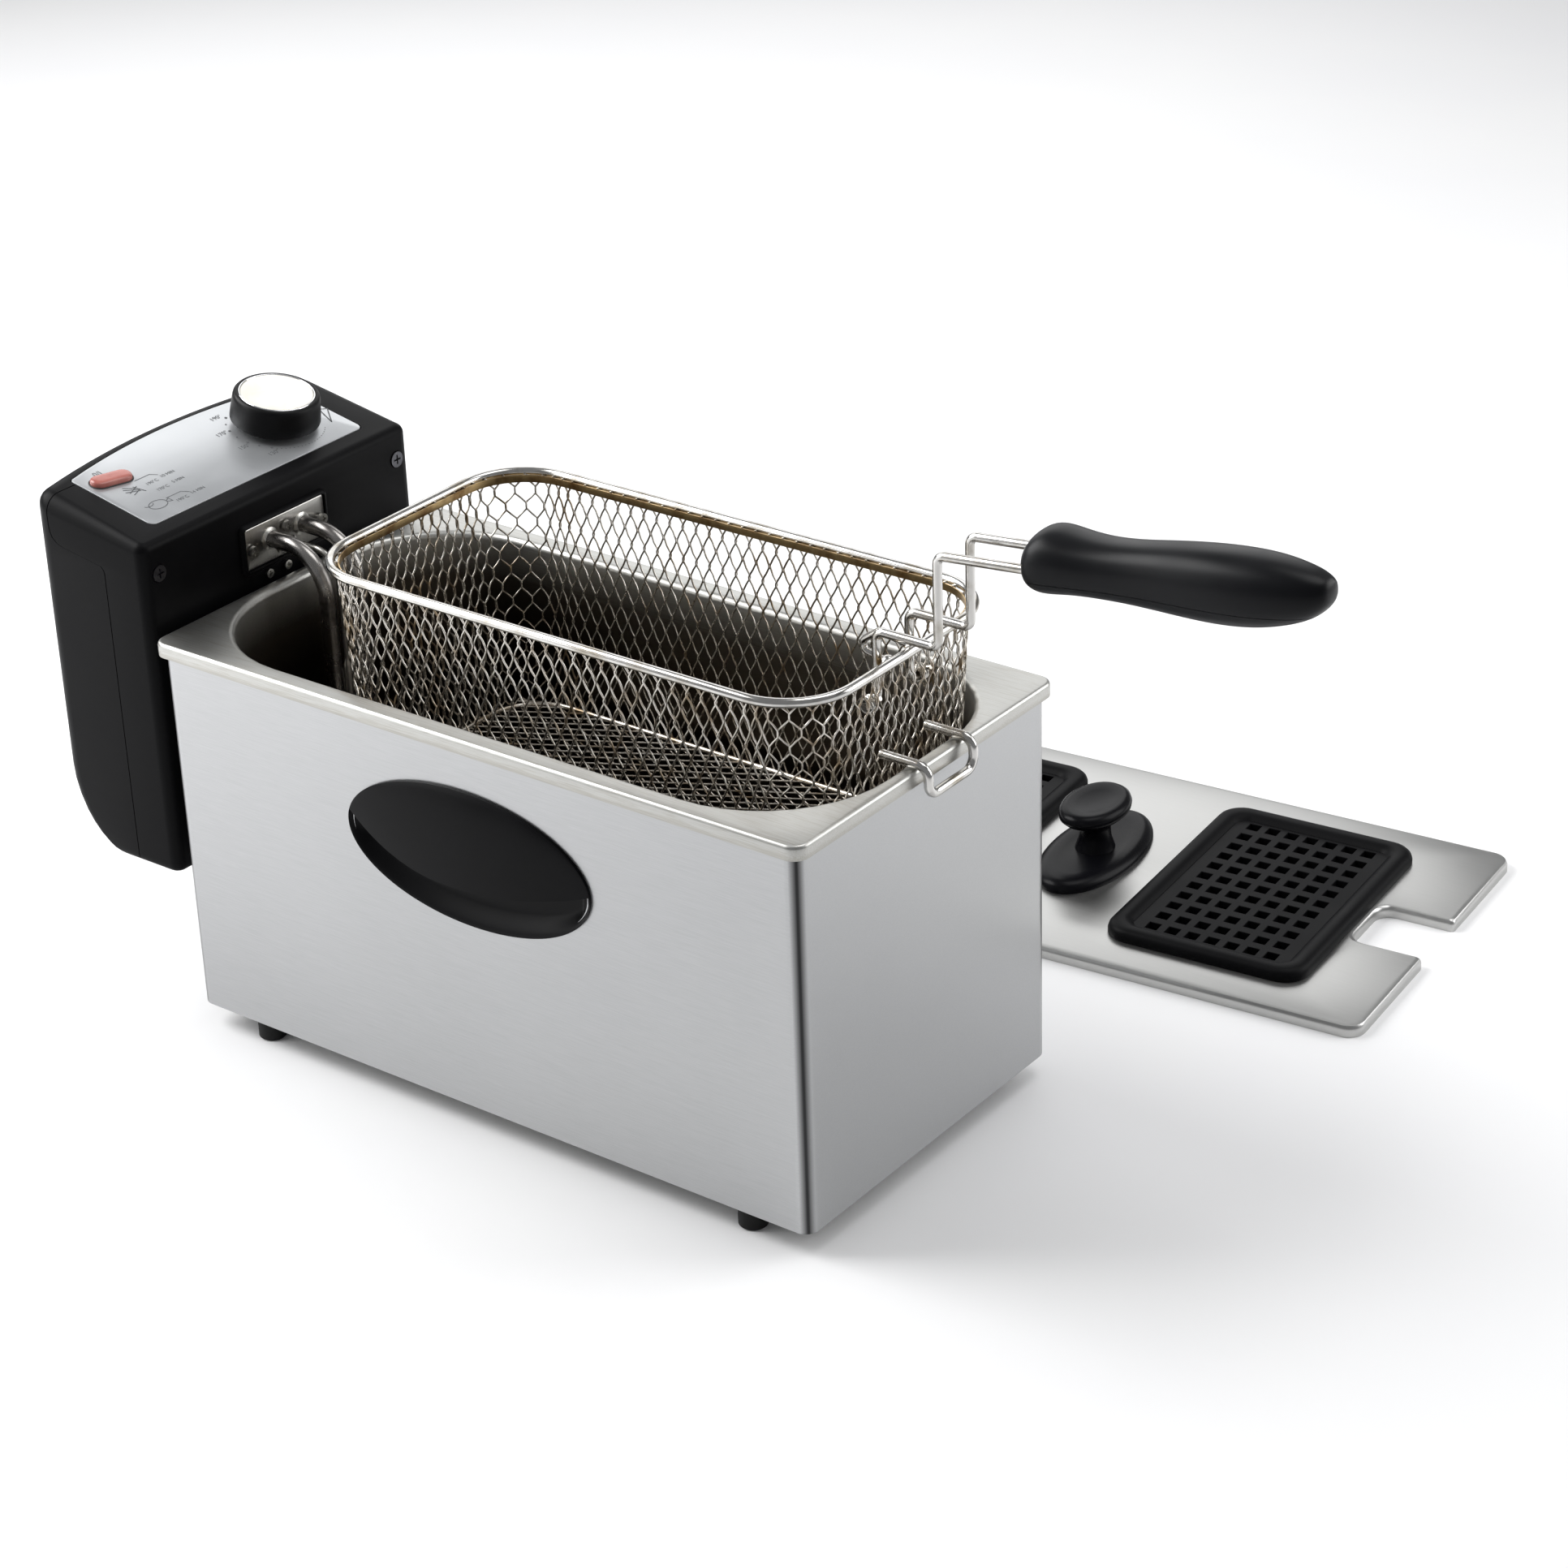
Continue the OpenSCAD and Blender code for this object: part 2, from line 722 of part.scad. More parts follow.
module thermostat_knob() {
    roof = 4.5;
    color(black) on_top(knob_x, knob_side) difference() {
        union() {
            difference() {
                translate([0, 0, knob_gap]) cylinder(r1 = knob_r, r2 = knob_r - 1, h = knob_h - knob_gap);
                translate([0, 0, knob_gap - 1]) cylinder(r = knob_r - 2.5, h = knob_h - roof - knob_gap + 1);
            }
            translate([0, 0, 0.8]) cylinder(d = 11, h = knob_h - 3);
        }
        translate([0, 0, knob_h - 1.3]) cylinder(r = knob_r - 3, h = 5);
        cylinder(d = 6, h = 10);
        rotate(180) translate([knob_r - 1.4, -1, knob_h - 5]) cube([5, 2, 10]);
    }
}

module knob_ring() {
    color(chrome) on_top(knob_x, knob_side) translate([0, 0, knob_h - 1.3]) difference() {
        cylinder(r = knob_r - 3, h = 1.6);
        translate([0, 0, -1]) cylinder(r = knob_r - 3.8, h = 4);
    }
}

module knob_insert() {
    color("ivory") on_top(knob_x, knob_side) translate([0, 0, knob_h - 1.3])
        cylinder(r = knob_r - 3.8, h = 1.4);
}

module power_button() {
    color([0.8, 0.3, 0.28]) on_button() {
        translate([0, 0, -5]) linear_extrude(7.4) stadium(button_l, button_w);
        translate([0, 0, -6]) linear_extrude(1.2) stadium(button_l + 3, button_w + 3);
    }
}

// ---- Basket

module basket_rim() {
    l = basket_l / 2 - rim_wire / 2;
    w = basket_w / 2 - rim_wire / 2;
    color(chrome) translate([basket_x, basket_y, basket_rim_z])
        wire([[0, -w, 0], [l, -w, 0], [l, w, 0], [-l, w, 0], [-l, -w, 0], [0, -w, 0]], rim_wire, 28);
}

module basket_space(t, low, high) {
    hull() {
        translate([0, 0, low]) linear_extrude(tiny)
            rounded_rect(basket_l - rim_wire - 2 * basket_draft - 2 * t,
                basket_w - rim_wire - 2 * basket_draft - 2 * t, 24 - t, $fn = 48);
        translate([0, 0, high - tiny]) linear_extrude(tiny)
            rounded_rect(basket_l - rim_wire - 2 * t, basket_w - rim_wire - 2 * t, 28 - t, $fn = 48);
    }
}

// The woven basket as one thin open tray
module basket_mesh() {
    color([0.7, 0.7, 0.7]) translate([basket_x, basket_y, 0]) difference() {
        basket_space(0, basket_floor_z, basket_mesh_top);
        basket_space(mesh_t, basket_floor_z + mesh_t, basket_mesh_top + tiny);
    }
}

// The bent wire that hooks the raised basket over the flange to drain
module basket_hook() {
    start = basket_end - 3.5;
    s = hook_w / 2;
    color(chrome) translate([0, basket_y, 0]) wire([[start, -s, hook_z], [hook_x, -s, hook_z],
        [hook_x, -s, hook_z - hook_drop], [hook_x, s, hook_z - hook_drop], [hook_x, s, hook_z],
        [start, s, hook_z]], hook_wire, 5);
}

module handle_eyelets() {
    color(chrome) for (s = [-1, 1]) translate([pivot_x, basket_y + s * (wire_gap / 2 + eyelet_out), pivot_z])
        rotate([90, 0, 0]) difference() {
            union() {
                cylinder(d = eyelet_d, h = eyelet_w, center = true);
                translate([0, -1, -eyelet_w / 2]) cube([basket_end - 4.1 - pivot_x, 2, eyelet_w]);
            }
            cylinder(d = handle_wire + 0.15, h = eyelet_w + 2, center = true);
        }
}

// The V-shaped wire between the handle wires that stops the handle's fold outwards
module handle_rest() {
    color(chrome) translate([0, basket_y, 0]) {
        wire([[basket_end - 1.6, 0, basket_rim_z + (rim_wire + 3) / 2],
            [basket_end - 14, 0, basket_rim_z + 6.3],
            [basket_end - 26.5, 0, basket_rim_z - 2.5],
            [basket_end - 12, 0, basket_rim_z - 6]], 3, 3);
        translate([basket_end - 11, 0, basket_rim_z - 6.2]) sphere(d = 6);
    }
}

module handle_wire_half(s) {
    side = s * wire_gap / 2;
    slope = tan(grip_rise);
    pin_end = side + s * (eyelet_out + eyelet_w / 2 + 0.5);
    end_x = grip_x + wire_in_grip;
    translate([0, basket_y, 0]) wire([[pivot_x, pin_end, pivot_z], [pivot_x, side, pivot_z],
        [pivot_x, side, handle_low], [step_x, side, handle_low], [step_x, side, handle_high],
        [end_x, side, handle_high + (end_x - step_x) * slope]], handle_wire, 3.5);
}
module handle_wire_front() { color(chrome) handle_wire_half(-1); }
module handle_wire_rear() { color(chrome) handle_wire_half(1); }

// Places its children at the grip's inner end with +X along the grip
module grip_frame() {
    translate([grip_x, basket_y, handle_high + (grip_x - step_x) * tan(grip_rise)])
        rotate([0, -grip_rise, 0]) children();
}

// The grip's outline from the side: a full front, a waist, a swell and a blunt tip
module grip_side() {
    polygon([[0, -6], [0, 8], [3, 11], [10, 14], [16, 13], [26, 11.5], [38, 11.5], [51, 13], [64, 14.5],
        [78, 15], [90, 15], [100, 14.4], [108, 12.7], [114, 11.4], [118, 9.8], [grip_l, 7], [grip_l, 3],
        [119, -0.5], [115, -4.5], [110, -7.2], [103, -9.4], [93, -11.4], [81, -12.2], [67, -12], [53, -10.9],
        [40, -10], [18, -9.7], [10, -10.6], [5, -10.7], [2.5, -9]]);
}

module grip_plan() {
    w = grip_w / 2;
    polygon([[0, -w + 2], [4, -w], [20, -w + 0.5], [45, -w + 3], [80, -w + 0.5], [100, -w + 1],
        [114, -w + 4], [grip_l, -w + 9], [grip_l, w - 9], [114, w - 4], [100, w - 1], [80, w - 0.5],
        [45, w - 3], [20, w - 0.5], [4, w], [0, w - 2]]);
}

module grip_body() {
    intersection() {
        translate([0, grip_w, 0]) rotate([90, 0, 0]) linear_extrude(2 * grip_w) grip_side();
        translate([0, 0, -40]) linear_extrude(80) grip_plan();
    }
}

// The space below the joint between the grip's two halves
module below_seam() {
    translate([-10, -grip_w, grip_seam - 40]) cube([grip_l + 20, 2 * grip_w, 40]);
}

module grip_upper() {
    color(black) grip_frame() difference() {
        grip_body();
        below_seam();
        for (s = [-1, 1]) translate([-5, s * wire_gap / 2, 0]) rotate([0, 90, 0])
            cylinder(d = handle_wire, h = wire_in_grip / cos(grip_rise) + 5);
        translate([grip_screw_x, 0, grip_seam - 1]) cylinder(d = screw_d, h = 10);
    }
}

module grip_lower() {
    head_z = -9.5;
    color(black) grip_frame() difference() {
        intersection() {
            grip_body();
            below_seam();
        }
        translate([grip_screw_x, 0, -30]) cylinder(d = screw_hole, h = 30);
        translate([grip_screw_x, 0, -30]) cylinder(d = 6.4, h = 30 + head_z);
    }
}

module grip_screw() {
    color(steel) grip_frame() translate([grip_screw_x, 0, -11.5]) mirror([0, 0, 1]) screw(screw_d, 6, 2, 13);
}

// ---- Lid

module on_table() {
    translate([lid_x, lid_y, 0]) rotate(lid_turn) children();
}

module notch_plan() {
    corner = 7.5;
    translate([lid_l / 2 - notch_l, 0]) {
        translate([corner, 0]) rounded_rect(2 * corner + tiny, notch_w, corner);
        translate([corner, -notch_w / 2]) square([notch_l, notch_w]);
    }
}

module lid_panel() {
    color(steel) on_table() difference() {
        linear_extrude(lid_h) rounded_rect(lid_l, lid_w, lid_corner);
        translate([0, 0, -1]) linear_extrude(lid_h - sheet + 1)
            rounded_rect(lid_l - 2 * sheet, lid_w - 2 * sheet, lid_corner - sheet);
        translate([0, 0, -1]) linear_extrude(lid_h + 2) {
            notch_plan();
            for (s = [-1, 1]) translate([s * grille_u, 0]) rounded_rect(grille_l - 16, grille_w - 16, 6);
            translate([lid_knob_u, 0]) circle(d = 5);
        }
    }
}

// A black vent grille: a raised frame, a sunken field and its square holes
module grille(s) {
    neck = 1.6;
    on_table() translate([s * grille_u, 0, lid_h]) difference() {
        union() {
            linear_extrude(grille_proud) rounded_rect(grille_l, grille_w, 11);
            translate([0, 0, -neck]) linear_extrude(neck + tiny)
                rounded_rect(grille_l - 16.4, grille_w - 16.4, 5.8);
        }
        translate([0, 0, grille_proud - 2.2]) linear_extrude(5) rounded_rect(grille_l - 21, grille_w - 17, 6);
        translate([0, 0, -5]) linear_extrude(20)
            for (i = [0:hole_rows - 1], j = [0:hole_columns - 1])
                translate([(i - (hole_rows - 1) / 2) * hole_pitch_u,
                    (j - (hole_columns - 1) / 2) * hole_pitch_v]) square(hole, center = true);
    }
}
module lid_grille_1() { color(black) grille(1); }
module lid_grille_2() { color(black) grille(-1); }

// The washable filter mat below a grille
module filter(s) {
    on_table() translate([s * grille_u, 0, lid_h - 2.6]) linear_extrude(1)
        rounded_rect(grille_l - 12, grille_w - 12, 6);
}
module grille_filter_1() { color([0.6, 0.6, 0.6]) filter(1); }
module grille_filter_2() { color([0.6, 0.6, 0.6]) filter(-1); }

module filter_clamp(s) {
    on_table() translate([s * grille_u, 0, lid_h - 3.8]) linear_extrude(1.2) difference() {
        rounded_rect(grille_l - 8, grille_w - 8, 7);
        rounded_rect(grille_l - 18, grille_w - 18, 5);
    }
}
module filter_clamp_1() { color(steel) filter_clamp(1); }
module filter_clamp_2() { color(steel) filter_clamp(-1); }

// Places its children on the lid's top at its knob
module at_lid_knob() {
    on_table() translate([lid_knob_u, 0, lid_h]) children();
}

module lid_knob_base() {
    color(black) at_lid_knob() difference() {
        union() {
            linear_extrude(2.5) polygon(ellipse(knob_base_a, knob_base_b));
            translate([0, 0, 2.5 - tiny]) linear_extrude(2.5)
                polygon(ellipse(knob_base_a - 3, knob_base_b - 4));
        }
        translate([0, 0, -1]) cylinder(d = 4.4, h = 10);
    }
}

module lid_knob() {
    cap_low = lid_knob_h - 8;
    color(black) at_lid_knob() translate([0, 0, 5]) difference() {
        union() {
            cylinder(d1 = 17, d2 = 12, h = 6);
            translate([0, 0, 6]) cylinder(d = 12, h = cap_low - 5);
            translate([0, 0, cap_low]) linear_extrude(5) polygon(ellipse(15, 21.5));
            translate([0, 0, cap_low + 5]) linear_extrude(3) polygon(ellipse(12.5, 19));
        }
        translate([0, 0, -1]) cylinder(d = 4, h = 16);
    }
}

module lid_knob_screw() {
    color(steel) at_lid_knob() translate([0, 0, -sheet - 2.5]) mirror([0, 0, 1]) screw(4, 8, 2.5, 18);
}

housing();
base_plate();
foot(0);  // foot_1
foot(1);  // foot_2
foot(2);  // foot_3
foot(3);  // foot_4
foot_screws();
side_handle_front();
side_handle_rear();
guide_rail();
guide_rail_screws();
tank();
head_front_shell();
head_rear_shell();
shell_screws();
top_panel();
element_plate();
element_plate_screws();
heating_element();
element_terminals();
heat_shield();
probe_bracket();
thermostat_body();
thermostat_probe();
thermal_cutout();
cutout_probe();
lid_off_switch();
power_switch();
terminal_block();
internal_leads();
cord_gland();
thermostat_shaft();
thermostat_knob();
knob_ring();
knob_insert();
power_button();
basket_rim();
basket_mesh();
basket_hook();
handle_eyelets();
handle_rest();
handle_wire_front();
handle_wire_rear();
grip_upper();
grip_lower();
grip_screw();
lid_panel();
lid_grille_1();
lid_grille_2();
grille_filter_1();
grille_filter_2();
filter_clamp_1();
filter_clamp_2();
lid_knob_base();
lid_knob();
lid_knob_screw();
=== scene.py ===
"""Deep fryer: the looks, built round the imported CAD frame.

Every length below is in millimetres in the row frame; `MM` turns it into metres where a mesh is made.
Places and sizes are read from the CAD boxes wherever a piece stands for a CAD node.
"""

import math

import bmesh
import bpy
import numpy as np
from mathutils import Matrix, Vector


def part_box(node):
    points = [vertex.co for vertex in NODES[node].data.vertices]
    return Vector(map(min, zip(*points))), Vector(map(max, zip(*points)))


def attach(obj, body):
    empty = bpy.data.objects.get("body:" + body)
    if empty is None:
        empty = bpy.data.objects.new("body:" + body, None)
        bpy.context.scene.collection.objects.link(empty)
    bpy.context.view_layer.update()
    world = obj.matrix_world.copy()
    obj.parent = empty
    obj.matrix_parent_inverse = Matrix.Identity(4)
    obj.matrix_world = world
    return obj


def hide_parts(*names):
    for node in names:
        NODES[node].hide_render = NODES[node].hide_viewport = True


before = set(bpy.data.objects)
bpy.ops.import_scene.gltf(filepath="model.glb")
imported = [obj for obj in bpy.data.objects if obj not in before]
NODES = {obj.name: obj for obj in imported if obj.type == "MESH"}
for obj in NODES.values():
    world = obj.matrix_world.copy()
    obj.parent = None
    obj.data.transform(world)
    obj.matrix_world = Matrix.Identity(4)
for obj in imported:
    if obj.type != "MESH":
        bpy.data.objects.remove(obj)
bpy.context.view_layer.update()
MM = 0.001


def low(node):
    """Lowest corner of a CAD node, in millimetres."""
    return np.array(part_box(node)[0]) / MM


def high(node):
    """Highest corner of a CAD node, in millimetres."""
    return np.array(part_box(node)[1]) / MM


def middle(node):
    return (low(node) + high(node)) / 2


# ---------------------------------------------------------------- meshes


def raw(name, verts, faces):
    """A bare mesh object from points in millimetres, with consistent normals."""
    mesh = bpy.data.meshes.new(name)
    mesh.from_pydata([tuple(float(c) * MM for c in v) for v in verts], [], faces)
    piece = bpy.data.objects.new(name, mesh)
    bpy.context.scene.collection.objects.link(piece)
    bm = bmesh.new()
    bm.from_mesh(mesh)
    bmesh.ops.recalc_face_normals(bm, faces=bm.faces)
    bm.to_mesh(mesh)
    bm.free()
    return piece


def make(name, verts, faces, material, body, replaces=(), sharp=32.0):
    """A visible piece: a mesh with its material, shading and body."""
    piece = raw(name, verts, faces)
    dress(piece, material, body, replaces, sharp)
    return piece


def dress(piece, material, body, replaces=(), sharp=32.0):
    """Material, shading, body and CAD nodes of a piece; edges over `sharp` degrees stay hard."""
    mesh = piece.data
    mesh.materials.clear()
    mesh.materials.append(material)
    mesh.polygons.foreach_set("use_smooth", [True] * len(mesh.polygons))
    mesh.set_sharp_from_angle(angle=math.radians(sharp))
    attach(piece, body)
    if replaces:
        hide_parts(*replaces)


def bevel(piece, width, segments=3, angle=30.0):
    """Rounds a piece's sharp edges, width in millimetres."""
    mod = piece.modifiers.new("edges", "BEVEL")
    mod.width = width * MM
    mod.segments = segments
    mod.limit_method = "ANGLE"
    mod.angle_limit = math.radians(angle)
    mod.harden_normals = True
    mod.use_clamp_overlap = True


def apply_modifiers(piece):
    """Replaces the piece's mesh by its evaluated one."""
    bpy.context.view_layer.update()
    graph = bpy.context.evaluated_depsgraph_get()
    mesh = bpy.data.meshes.new_from_object(piece.evaluated_get(graph))
    piece.modifiers.clear()
    piece.data = mesh


def duplicate(piece, name):
    """A copy of a piece with its own mesh."""
    copy = piece.copy()
    copy.data = piece.data.copy()
    copy.name = name
    bpy.context.scene.collection.objects.link(copy)
    return copy


def carve(piece, cutter, operation="DIFFERENCE"):
    """Boolean of a piece with a cutter, which is thrown away."""
    mod = piece.modifiers.new("cut", "BOOLEAN")
    mod.operation = operation
    mod.solver = "EXACT"
    mod.object = cutter
    apply_modifiers(piece)
    bpy.data.objects.remove(cutter)


def skin(rings, loop=False):
    """Verts and faces of the surface through closed rings of equally many points; a loop has no end caps."""
    n, count = len(rings[0]), len(rings)
    verts = [p for ring in rings for p in ring]
    faces = []
    for i in range(count if loop else count - 1):
        a, b = i * n, ((i + 1) % count) * n
        faces += [(a + j, a + (j + 1) % n, b + (j + 1) % n, b + j) for j in range(n)]
    if not loop:
        faces += [tuple(range(n)), tuple(range((count - 1) * n, count * n))]
    return verts, faces


def join_parts(parts):
    """One verts and faces pair from several."""
    verts, faces = [], []
    for v, f in parts:
        start = len(verts)
        verts += list(v)
        faces += [tuple(i + start for i in face) for face in f]
    return verts, faces


def prism(outline, z0, z1):
    """A straight prism over an outline of (x, y) points."""
    return skin([[(x, y, z0) for x, y in outline], [(x, y, z1) for x, y in outline]])


def block(low_corner, high_corner):
    x0, y0, z0 = low_corner
    x1, y1, z1 = high_corner
    return prism([(x0, y0), (x1, y0), (x1, y1), (x0, y1)], z0, z1)


def arc(cx, cy, r, start, end, steps):
    """Points of an arc, angles in degrees."""
    angles = [math.radians(start + (end - start) * i / steps) for i in range(steps + 1)]
    return [(cx + r * math.cos(a), cy + r * math.sin(a)) for a in angles]


def mirrored(outline):
    """An outline's points with y turned round, in the opposite order."""
    return [(x, -y) for x, y in reversed(outline)]


def rounded_rect(l, w, r, steps=8, cx=0.0, cy=0.0):
    """Outline of a rectangle with round corners, counter-clockwise from its lower right corner."""
    r = max(0.01, min(r, l / 2 - 0.01, w / 2 - 0.01))
    points = []
    for sx, sy, start in ((1, -1, -90), (1, 1, 0), (-1, 1, 90), (-1, -1, 180)):
        points += arc(cx + sx * (l / 2 - r), cy + sy * (w / 2 - r), r, start, start + 90, steps)
    return points


def ellipse(a, b, count=72, cx=0.0, cy=0.0):
    return [(cx + a * math.cos(2 * math.pi * i / count), cy + b * math.sin(2 * math.pi * i / count))
            for i in range(count)]


def lathe(profile, place, steps=48, loop=False):
    """A turned solid through profile points (r, z); `loop` joins the last point to the first."""
    rings = [[place((x, y, z)) for x, y in ellipse(max(r, 0.001), max(r, 0.001), steps)] for r, z in profile]
    return skin(rings, loop=loop)


def bend_path(points, radius, steps=8):
    """A polyline with each inner corner replaced by an arc of the given radius."""
    p = [np.array(q, float) for q in points]
    out = [p[0]]
    for a, b, c in zip(p, p[1:], p[2:]):
        u = (b - a) / np.linalg.norm(b - a)
        v = (c - b) / np.linalg.norm(c - b)
        turn = math.acos(max(-1.0, min(1.0, float(u @ v))))
        if turn < 0.01:
            out.append(b)
            continue
        n = v - (v @ u) * u
        n /= np.linalg.norm(n)
        start = b - u * radius * math.tan(turn / 2)
        centre = start + n * radius
        for i in range(steps + 1):
            t = turn * i / steps
            out.append(centre - n * radius * math.cos(t) + u * radius * math.sin(t))
    out.append(p[-1])
    return out


def tube(points, radius, sides=12, closed=False):
    """Verts and faces of a round tube along points; radius may be one number or one per point."""
    p = np.array(points, float)
    count = len(p)
    radii = np.full(count, radius, float) if np.isscalar(radius) else np.array(radius, float)
    if closed:
        tangents = np.roll(p, -1, axis=0) - np.roll(p, 1, axis=0)
    else:
        tangents = np.gradient(p, axis=0)
    tangents /= np.linalg.norm(tangents, axis=1)[:, None]
    seed = np.array([0.0, 0.0, 1.0]) if abs(tangents[0][2]) < 0.9 else np.array([1.0, 0.0, 0.0])
    side = np.cross(tangents[0], seed)
    side /= np.linalg.norm(side)
    rings = []
    for q, t, r in zip(p, tangents, radii):
        side = side - (side @ t) * t
        side /= np.linalg.norm(side)
        up = np.cross(t, side)
        rings.append([q + r * (math.cos(a) * side + math.sin(a) * up)
                      for a in np.linspace(0, 2 * math.pi, sides, endpoint=False)])
    return skin(rings, loop=closed)


# ---------------------------------------------------------------- materials


class Paint:
    """A node material whose Principled shader is fed step by step."""

    def __init__(self, name, **values):
        self.mat = bpy.data.materials.new(name)
        self.mat.use_nodes = True
        self.nodes = self.mat.node_tree.nodes
        self.links = self.mat.node_tree.links
        self.shader = self.nodes["Principled BSDF"]
        for key, value in values.items():
            self.shader.inputs[key.replace("_", " ")].default_value = value
        self.coords = self.nodes.new("ShaderNodeTexCoord").outputs["Object"]

    def noise(self, scale, detail=4.0, rough=0.55, stretch=(1, 1, 1)):
        """Noise over object coordinates; scale is per metre, stretch per axis."""
        mapping = self.nodes.new("ShaderNodeMapping")
        mapping.inputs["Scale"].default_value = stretch
        self.links.new(self.coords, mapping.inputs["Vector"])
        tex = self.nodes.new("ShaderNodeTexNoise")
        tex.inputs["Scale"].default_value = scale
        tex.inputs["Detail"].default_value = detail
        tex.inputs["Roughness"].default_value = rough
        self.links.new(mapping.outputs["Vector"], tex.inputs["Vector"])
        return tex.outputs["Fac"]

    def math(self, operation, a, b):
        node = self.nodes.new("ShaderNodeMath")
        node.operation = operation
        for i, value in enumerate((a, b)):
            if isinstance(value, (int, float)):
                node.inputs[i].default_value = value
            else:
                self.links.new(value, node.inputs[i])
        return node.outputs[0]

    def span(self, source, lo, hi, from_lo=0.3, from_hi=0.7):
        """source, remapped to lo..hi."""
        node = self.nodes.new("ShaderNodeMapRange")
        node.inputs["From Min"].default_value = from_lo
        node.inputs["From Max"].default_value = from_hi
        node.inputs["To Min"].default_value = lo
        node.inputs["To Max"].default_value = hi
        self.links.new(source, node.inputs["Value"])
        return node.outputs["Result"]

    def place(self, axis):
        """The object coordinate along X, Y or Z."""
        node = self.nodes.new("ShaderNodeSeparateXYZ")
        self.links.new(self.coords, node.inputs[0])
        return node.outputs[axis]

    def ramp(self, source, *stops):
        """Base colour by source, from stops of place and colour."""
        node = self.nodes.new("ShaderNodeValToRGB")
        elements = node.color_ramp.elements
        for i, (place, colour) in enumerate(stops):
            element = elements[i] if i < 2 else elements.new(place)
            element.position = place
            element.color = (*colour, 1)
        self.links.new(source, node.inputs["Fac"])
        self.feed("Base Color", node.outputs["Color"])

    def blend(self, source, low_colour, high_colour, lo=0.35, hi=0.65):
        self.ramp(source, (lo, low_colour), (hi, high_colour))

    def feed(self, socket, source):
        self.links.new(source, self.shader.inputs[socket])

    def bump(self, source, strength, distance):
        """distance in millimetres."""
        node = self.nodes.new("ShaderNodeBump")
        node.inputs["Strength"].default_value = strength
        node.inputs["Distance"].default_value = distance * MM
        self.links.new(source, node.inputs["Height"])
        self.feed("Normal", node.outputs["Normal"])


def grained(name, anisotropy, grain):
    """A brushed metal's paint with its fine grain, its soft clouds and the two together."""
    paint = Paint(name, Metallic=1.0, Anisotropic=anisotropy)
    fine = paint.noise(60.0, 3.0, 0.7, grain)
    cloud = paint.noise(9.0, 3.0, 0.5)
    both = paint.math("ADD", paint.math("MULTIPLY", fine, 0.7), paint.math("MULTIPLY", cloud, 0.3))
    paint.bump(fine, 0.12, 0.02)
    return paint, fine, cloud, both


def brushed(name, colour, roughness, grain=(1, 60, 60), darkest=0.95, lightest=1.05):
    """Brushed stainless steel; the grain runs along the axis whose stretch is small."""
    paint, _, _, both = grained(name, 0.35, grain)
    paint.blend(both, tuple(c * darkest for c in colour), tuple(c * lightest for c in colour))
    paint.feed("Roughness", paint.span(both, roughness - 0.06, roughness + 0.08))
    return paint


def plastic(name, colour, roughness, grain=0.05, specular=0.45):
    """Moulded plastic with a fine spark-eroded grain."""
    paint = Paint(name)
    paint.shader.inputs["Specular IOR Level"].default_value = specular
    cloud = paint.noise(35.0, 4.0)
    paint.blend(cloud, tuple(c * 0.85 for c in colour), tuple(c * 1.2 for c in colour))
    paint.feed("Roughness", paint.span(cloud, roughness - 0.03, roughness + 0.05))
    paint.bump(paint.noise(2600.0, 2.0), grain, 0.04)
    return paint.mat


def plated(name, colour, roughness=0.12, tint=None):
    """Bright plated or polished wire, with faint drawing marks and a little burnt tint."""
    paint = Paint(name, Metallic=1.0)
    cloud = paint.noise(70.0, 5.0)
    paint.blend(cloud, tint or tuple(c * 0.8 for c in colour), colour, 0.33, 0.52)
    paint.feed("Roughness", paint.span(cloud, roughness + 0.1, roughness))
    paint.bump(paint.noise(900.0, 2.0), 0.05, 0.02)
    return paint.mat


STEEL = (0.46, 0.465, 0.47)
# width of the dark band painted along the housing's upright corners: a painted reflection
REFLECTION_BAND_WIDTH = 4.0
mat_lid = brushed("brushed_lid", (0.50, 0.50, 0.49), 0.33).mat
mat_plate = brushed("brushed_plate", (0.42, 0.41, 0.39), 0.3, (1, 80, 1), 0.9, 1.1).mat
mat_zinc = plated("zinc", (0.40, 0.40, 0.39), 0.35)
mat_black = plastic("black_shell", (0.003, 0.003, 0.0035), 0.44, 0.06, 0.07)
mat_gloss = plastic("black_gloss", (0.003, 0.003, 0.004), 0.28, 0.02, 0.09)
mat_knob = plastic("black_knob", (0.004, 0.004, 0.0045), 0.42, 0.03, 0.14)
mat_handle = plastic("black_handle", (0.003, 0.003, 0.0035), 0.34, 0.02, 0.08)
mat_grip = plastic("black_grip", (0.003, 0.0033, 0.0045), 0.36, 0.04, 0.17)
mat_rubber = plastic("black_rubber", (0.008, 0.008, 0.008), 0.6, 0.15, 0.2)
mat_cream = plastic("cream", (0.80, 0.78, 0.70), 0.35, 0.04)
mat_ceramic = plastic("ceramic", (0.55, 0.49, 0.38), 0.55, 0.1)
mat_lead = plastic("lead_red", (0.35, 0.03, 0.025), 0.4)
mat_dark = plastic("dark_parts", (0.03, 0.03, 0.035), 0.45)
mat_ink = plastic("print_grey", (0.13, 0.135, 0.14), 0.5, 0.02, 0.2)
mat_chrome = plated("chrome_wire", (0.60, 0.59, 0.57), 0.13, (0.36, 0.33, 0.28))
mat_weave = plated("weave_wire", (0.66, 0.63, 0.58), 0.2, (0.30, 0.23, 0.15))
mat_ring = plated("chrome_ring", (0.85, 0.85, 0.86), 0.08)
mat_element = plated("element_sheath", (0.36, 0.345, 0.33), 0.22, (0.12, 0.11, 0.105))
mat_screw = plated("screw", (0.50, 0.49, 0.46), 0.25)
